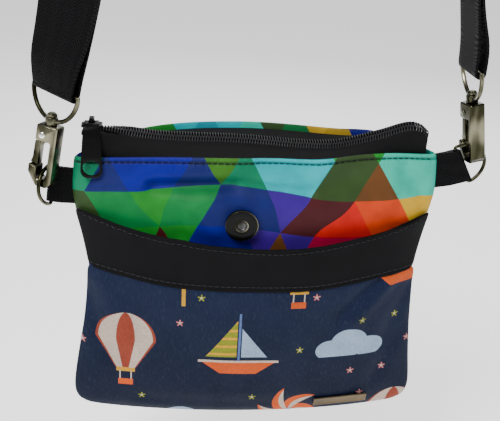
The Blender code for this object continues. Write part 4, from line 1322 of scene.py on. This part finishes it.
class BAG_OT_tabs(Operator):
    """Round the tabs' folds and give them the webbing's own directions."""

    bl_idname = "bag.tabs"
    bl_label = "Side tabs"

    def execute(self, context):
        for side in ("left", "right"):
            tab = from_solid("side_tab_" + side, "tab_" + side, quads=False)
            bevel(tab, 0.5 * MM, 3, 35)
            low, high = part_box("side_tab_" + side)
            middle = (low + high) / 2
            for vert, x, y, _ in spots_of(tab):
                if abs(x) < TAB_ROOT:
                    vert.co += Vector((-math.copysign(TAB_DRAWN_IN, x), -0.5 * y, 0)) * MM
            set_values(tab, "along", [(v.co.x - low.x) / MM for v in tab.data.vertices])
            set_values(tab, "across", [(v.co.z - middle.z) / MM for v in tab.data.vertices])
            dress(tab, 45, webbing(), "black_webbing", "side_tab_" + side)
        return {"FINISHED"}


class BAG_OT_rings(Operator):
    """Round the rings' wire, which keeps its thickness."""

    bl_idname = "bag.rings"
    bl_label = "D rings"

    def execute(self, context):
        for side in ("left", "right"):
            wire = from_solid("tab_ring_" + side, "tab_wire_" + side)
            round_off(wire, 2)
            fatten(wire, 0.06)
            dress(wire, 60, nickel(), "nickel", "tab_ring_" + side)
            ring = from_solid("strap_ring_" + side, "strap_wire_" + side, quads=False)
            bevel(ring, 0.25 * MM, 2, 35)
            dress(ring, 50, nickel(), "nickel", "strap_ring_" + side)
        return {"FINISHED"}


class BAG_OT_hooks(Operator):
    """Round the edges of the hooks and of their gates."""

    bl_idname = "bag.hooks"
    bl_label = "Swivel hooks"

    def execute(self, context):
        for side in ("left", "right"):
            for node, name, body in (("hook_body_", "hook_", "root"),
                                     ("hook_gate_", "gate_", "gate_" + side)):
                piece = from_solid(node + side, name + side, quads=False)
                if body == "root":
                    self.rivet(piece, side)
                bevel(piece, sizes().metal_edge, 3, 32)
                dress(piece, 40, nickel(), "nickel", node + side, body=body)
        return {"FINISHED"}

    @staticmethod
    def rivet(hook, side):
        """The pin that the gate turns on, with a domed head on each side of the hook."""
        joint = next(j for j in frame["record"]["behaviour"]["joints"]
                     if j["name"] == "gate_" + side + "_open")
        pin, axis = Vector(joint["pos_m"]), Vector(joint["axis"]).normalized()
        tree = surface(hook)
        for number, way in enumerate((axis, -axis)):
            hit, _, _, _ = tree.ray_cast(pin + way * 0.02, -way)
            if hit is not None:
                head = turned("rivet_%s_%d" % (side, number), PIN_HEAD, pointed(hit, way), 24)
                dress(head, 50, bright_metal("rivet_finish", (0.8, 0.8, 0.77), 0.12), "nickel")


class BAG_OT_strap(Operator):
    """Walk the strap from end to end, and write its length and width on it."""

    bl_idname = "bag.strap"
    bl_label = "Strap"

    def execute(self, context):
        strap = from_solid("strap", "strap_webbing")
        lowest, highest = STRAP_END
        cap = [face for face in strap.data.polygons
               if face.normal.z > 0.8 and face.center.x < 0 and lowest < face.center.z < highest]
        first = {index for face in cap for index in face.vertices}
        points = {tuple(round(c, 6) for c in strap.data.vertices[i].co) for i in first}
        rings, centres = rings_of(strap, lambda co: tuple(round(c, 6) for c in co) in points)
        along = [0.0] * len(strap.data.vertices)
        across = [0.0] * len(strap.data.vertices)
        travelled, before = 0.0, None
        for number, ring in enumerate(rings):
            if number:
                travelled += (centres[number] - centres[number - 1]).length
            spots = [strap.data.vertices[i].co for i in ring]
            width = max((a - b for a in spots for b in spots), key=lambda gap: gap.length)
            width.normalize()
            if before is not None and width.dot(before) < 0:
                width = -width
            before = width
            for index, spot in zip(ring, spots):
                along[index] = travelled / MM
                across[index] = (spot - centres[number]).dot(width) / MM
        set_values(strap, "along", along)
        set_values(strap, "across", across)
        with editing(strap, "EDGE") as bm:
            for edge in bm.edges:
                edge.select = edge.calc_face_angle(0.0) > math.radians(50)
            bpy.ops.mesh.bevel(offset=0.35 * MM, segments=2)
        round_off(strap, 1)
        dress(strap, 50, webbing(), "black_webbing", "strap")
        return {"FINISHED"}


class BAG_OT_stage(Operator):
    """Look at the bag from the front, a little from the left and from above."""

    bl_idname = "bag.stage"
    bl_label = "Stage"

    def execute(self, context):
        data = bpy.data.cameras.new("camera")
        data.sensor_width = SENSOR
        data.lens = FOCAL_PIXELS / IMAGE_WIDTH * SENSOR
        data.clip_start = 0.01
        camera = placed("camera", data)
        camera.matrix_world = pointed(EYE, TARGET - EYE, "-Z") @ Matrix.Rotation(ROLL, 4, "Z")
        context.scene.camera = camera
        for name, (place, size, power) in LAMPS.items():
            data = bpy.data.lights.new(name, "AREA")
            data.size = size
            data.energy = power
            placed(name, data).matrix_world = pointed(place, TARGET - Vector(place), "-Z")
        world = bpy.data.worlds.new("studio")
        world.use_nodes = True
        backdrop = world.node_tree.nodes["Background"]
        backdrop.inputs["Color"].default_value = (1, 1, 1, 1)
        backdrop.inputs["Strength"].default_value = BACKDROP
        context.scene.world = world
        floor = primitive("plane", "floor", size=6.0, location=(0, 0, FLOOR_HEIGHT))
        pale = tuple(min(0.96, 1.55 * shade) for shade in colours().floor)
        paint = Look("floor_finish", pale, 0.9, emission_color=pale, emission_strength=0.7)
        dust = paint.noise(60, 3.0)
        paint.set("Base Color", paint.mix(dust.ease(0.4, 0.7, 0.0, 0.02), pale, (0.8, 0.8, 0.8)))
        floor.data.materials.append(paint.material)
        return {"FINISHED"}


OPERATORS = (BAG_OT_stage, BAG_OT_pouch, BAG_OT_pocket, BAG_OT_zip, BAG_OT_slider, BAG_OT_snap,
             BAG_OT_plate, BAG_OT_tabs, BAG_OT_rings, BAG_OT_hooks, BAG_OT_strap)


class BAG_PT_panel(Panel):
    bl_idname = "BAG_PT_panel"
    bl_label = "Crossbody Bag"
    bl_space_type = "VIEW_3D"
    bl_region_type = "UI"
    bl_category = "Bag"

    def draw(self, context):
        for operator in OPERATORS:
            self.layout.operator(operator.bl_idname)
        for group in (context.scene.bag_sizes, context.scene.bag_colours):
            box = self.layout.box()
            for name in group.__annotations__:
                box.prop(group, name)


CLASSES = (BagSizes, BagColours, *OPERATORS, BAG_PT_panel)


def register():
    for item in CLASSES:
        bpy.utils.register_class(item)
    bpy.types.Scene.bag_sizes = PointerProperty(type=BagSizes)
    bpy.types.Scene.bag_colours = PointerProperty(type=BagColours)


def unregister():
    del bpy.types.Scene.bag_colours
    del bpy.types.Scene.bag_sizes
    for item in reversed(CLASSES):
        bpy.utils.unregister_class(item)


def main():
    register()
    for operator in OPERATORS:
        group, name = operator.bl_idname.split(".")
        getattr(getattr(bpy.ops, group), name)()


if __name__ == "__main__":
    main()
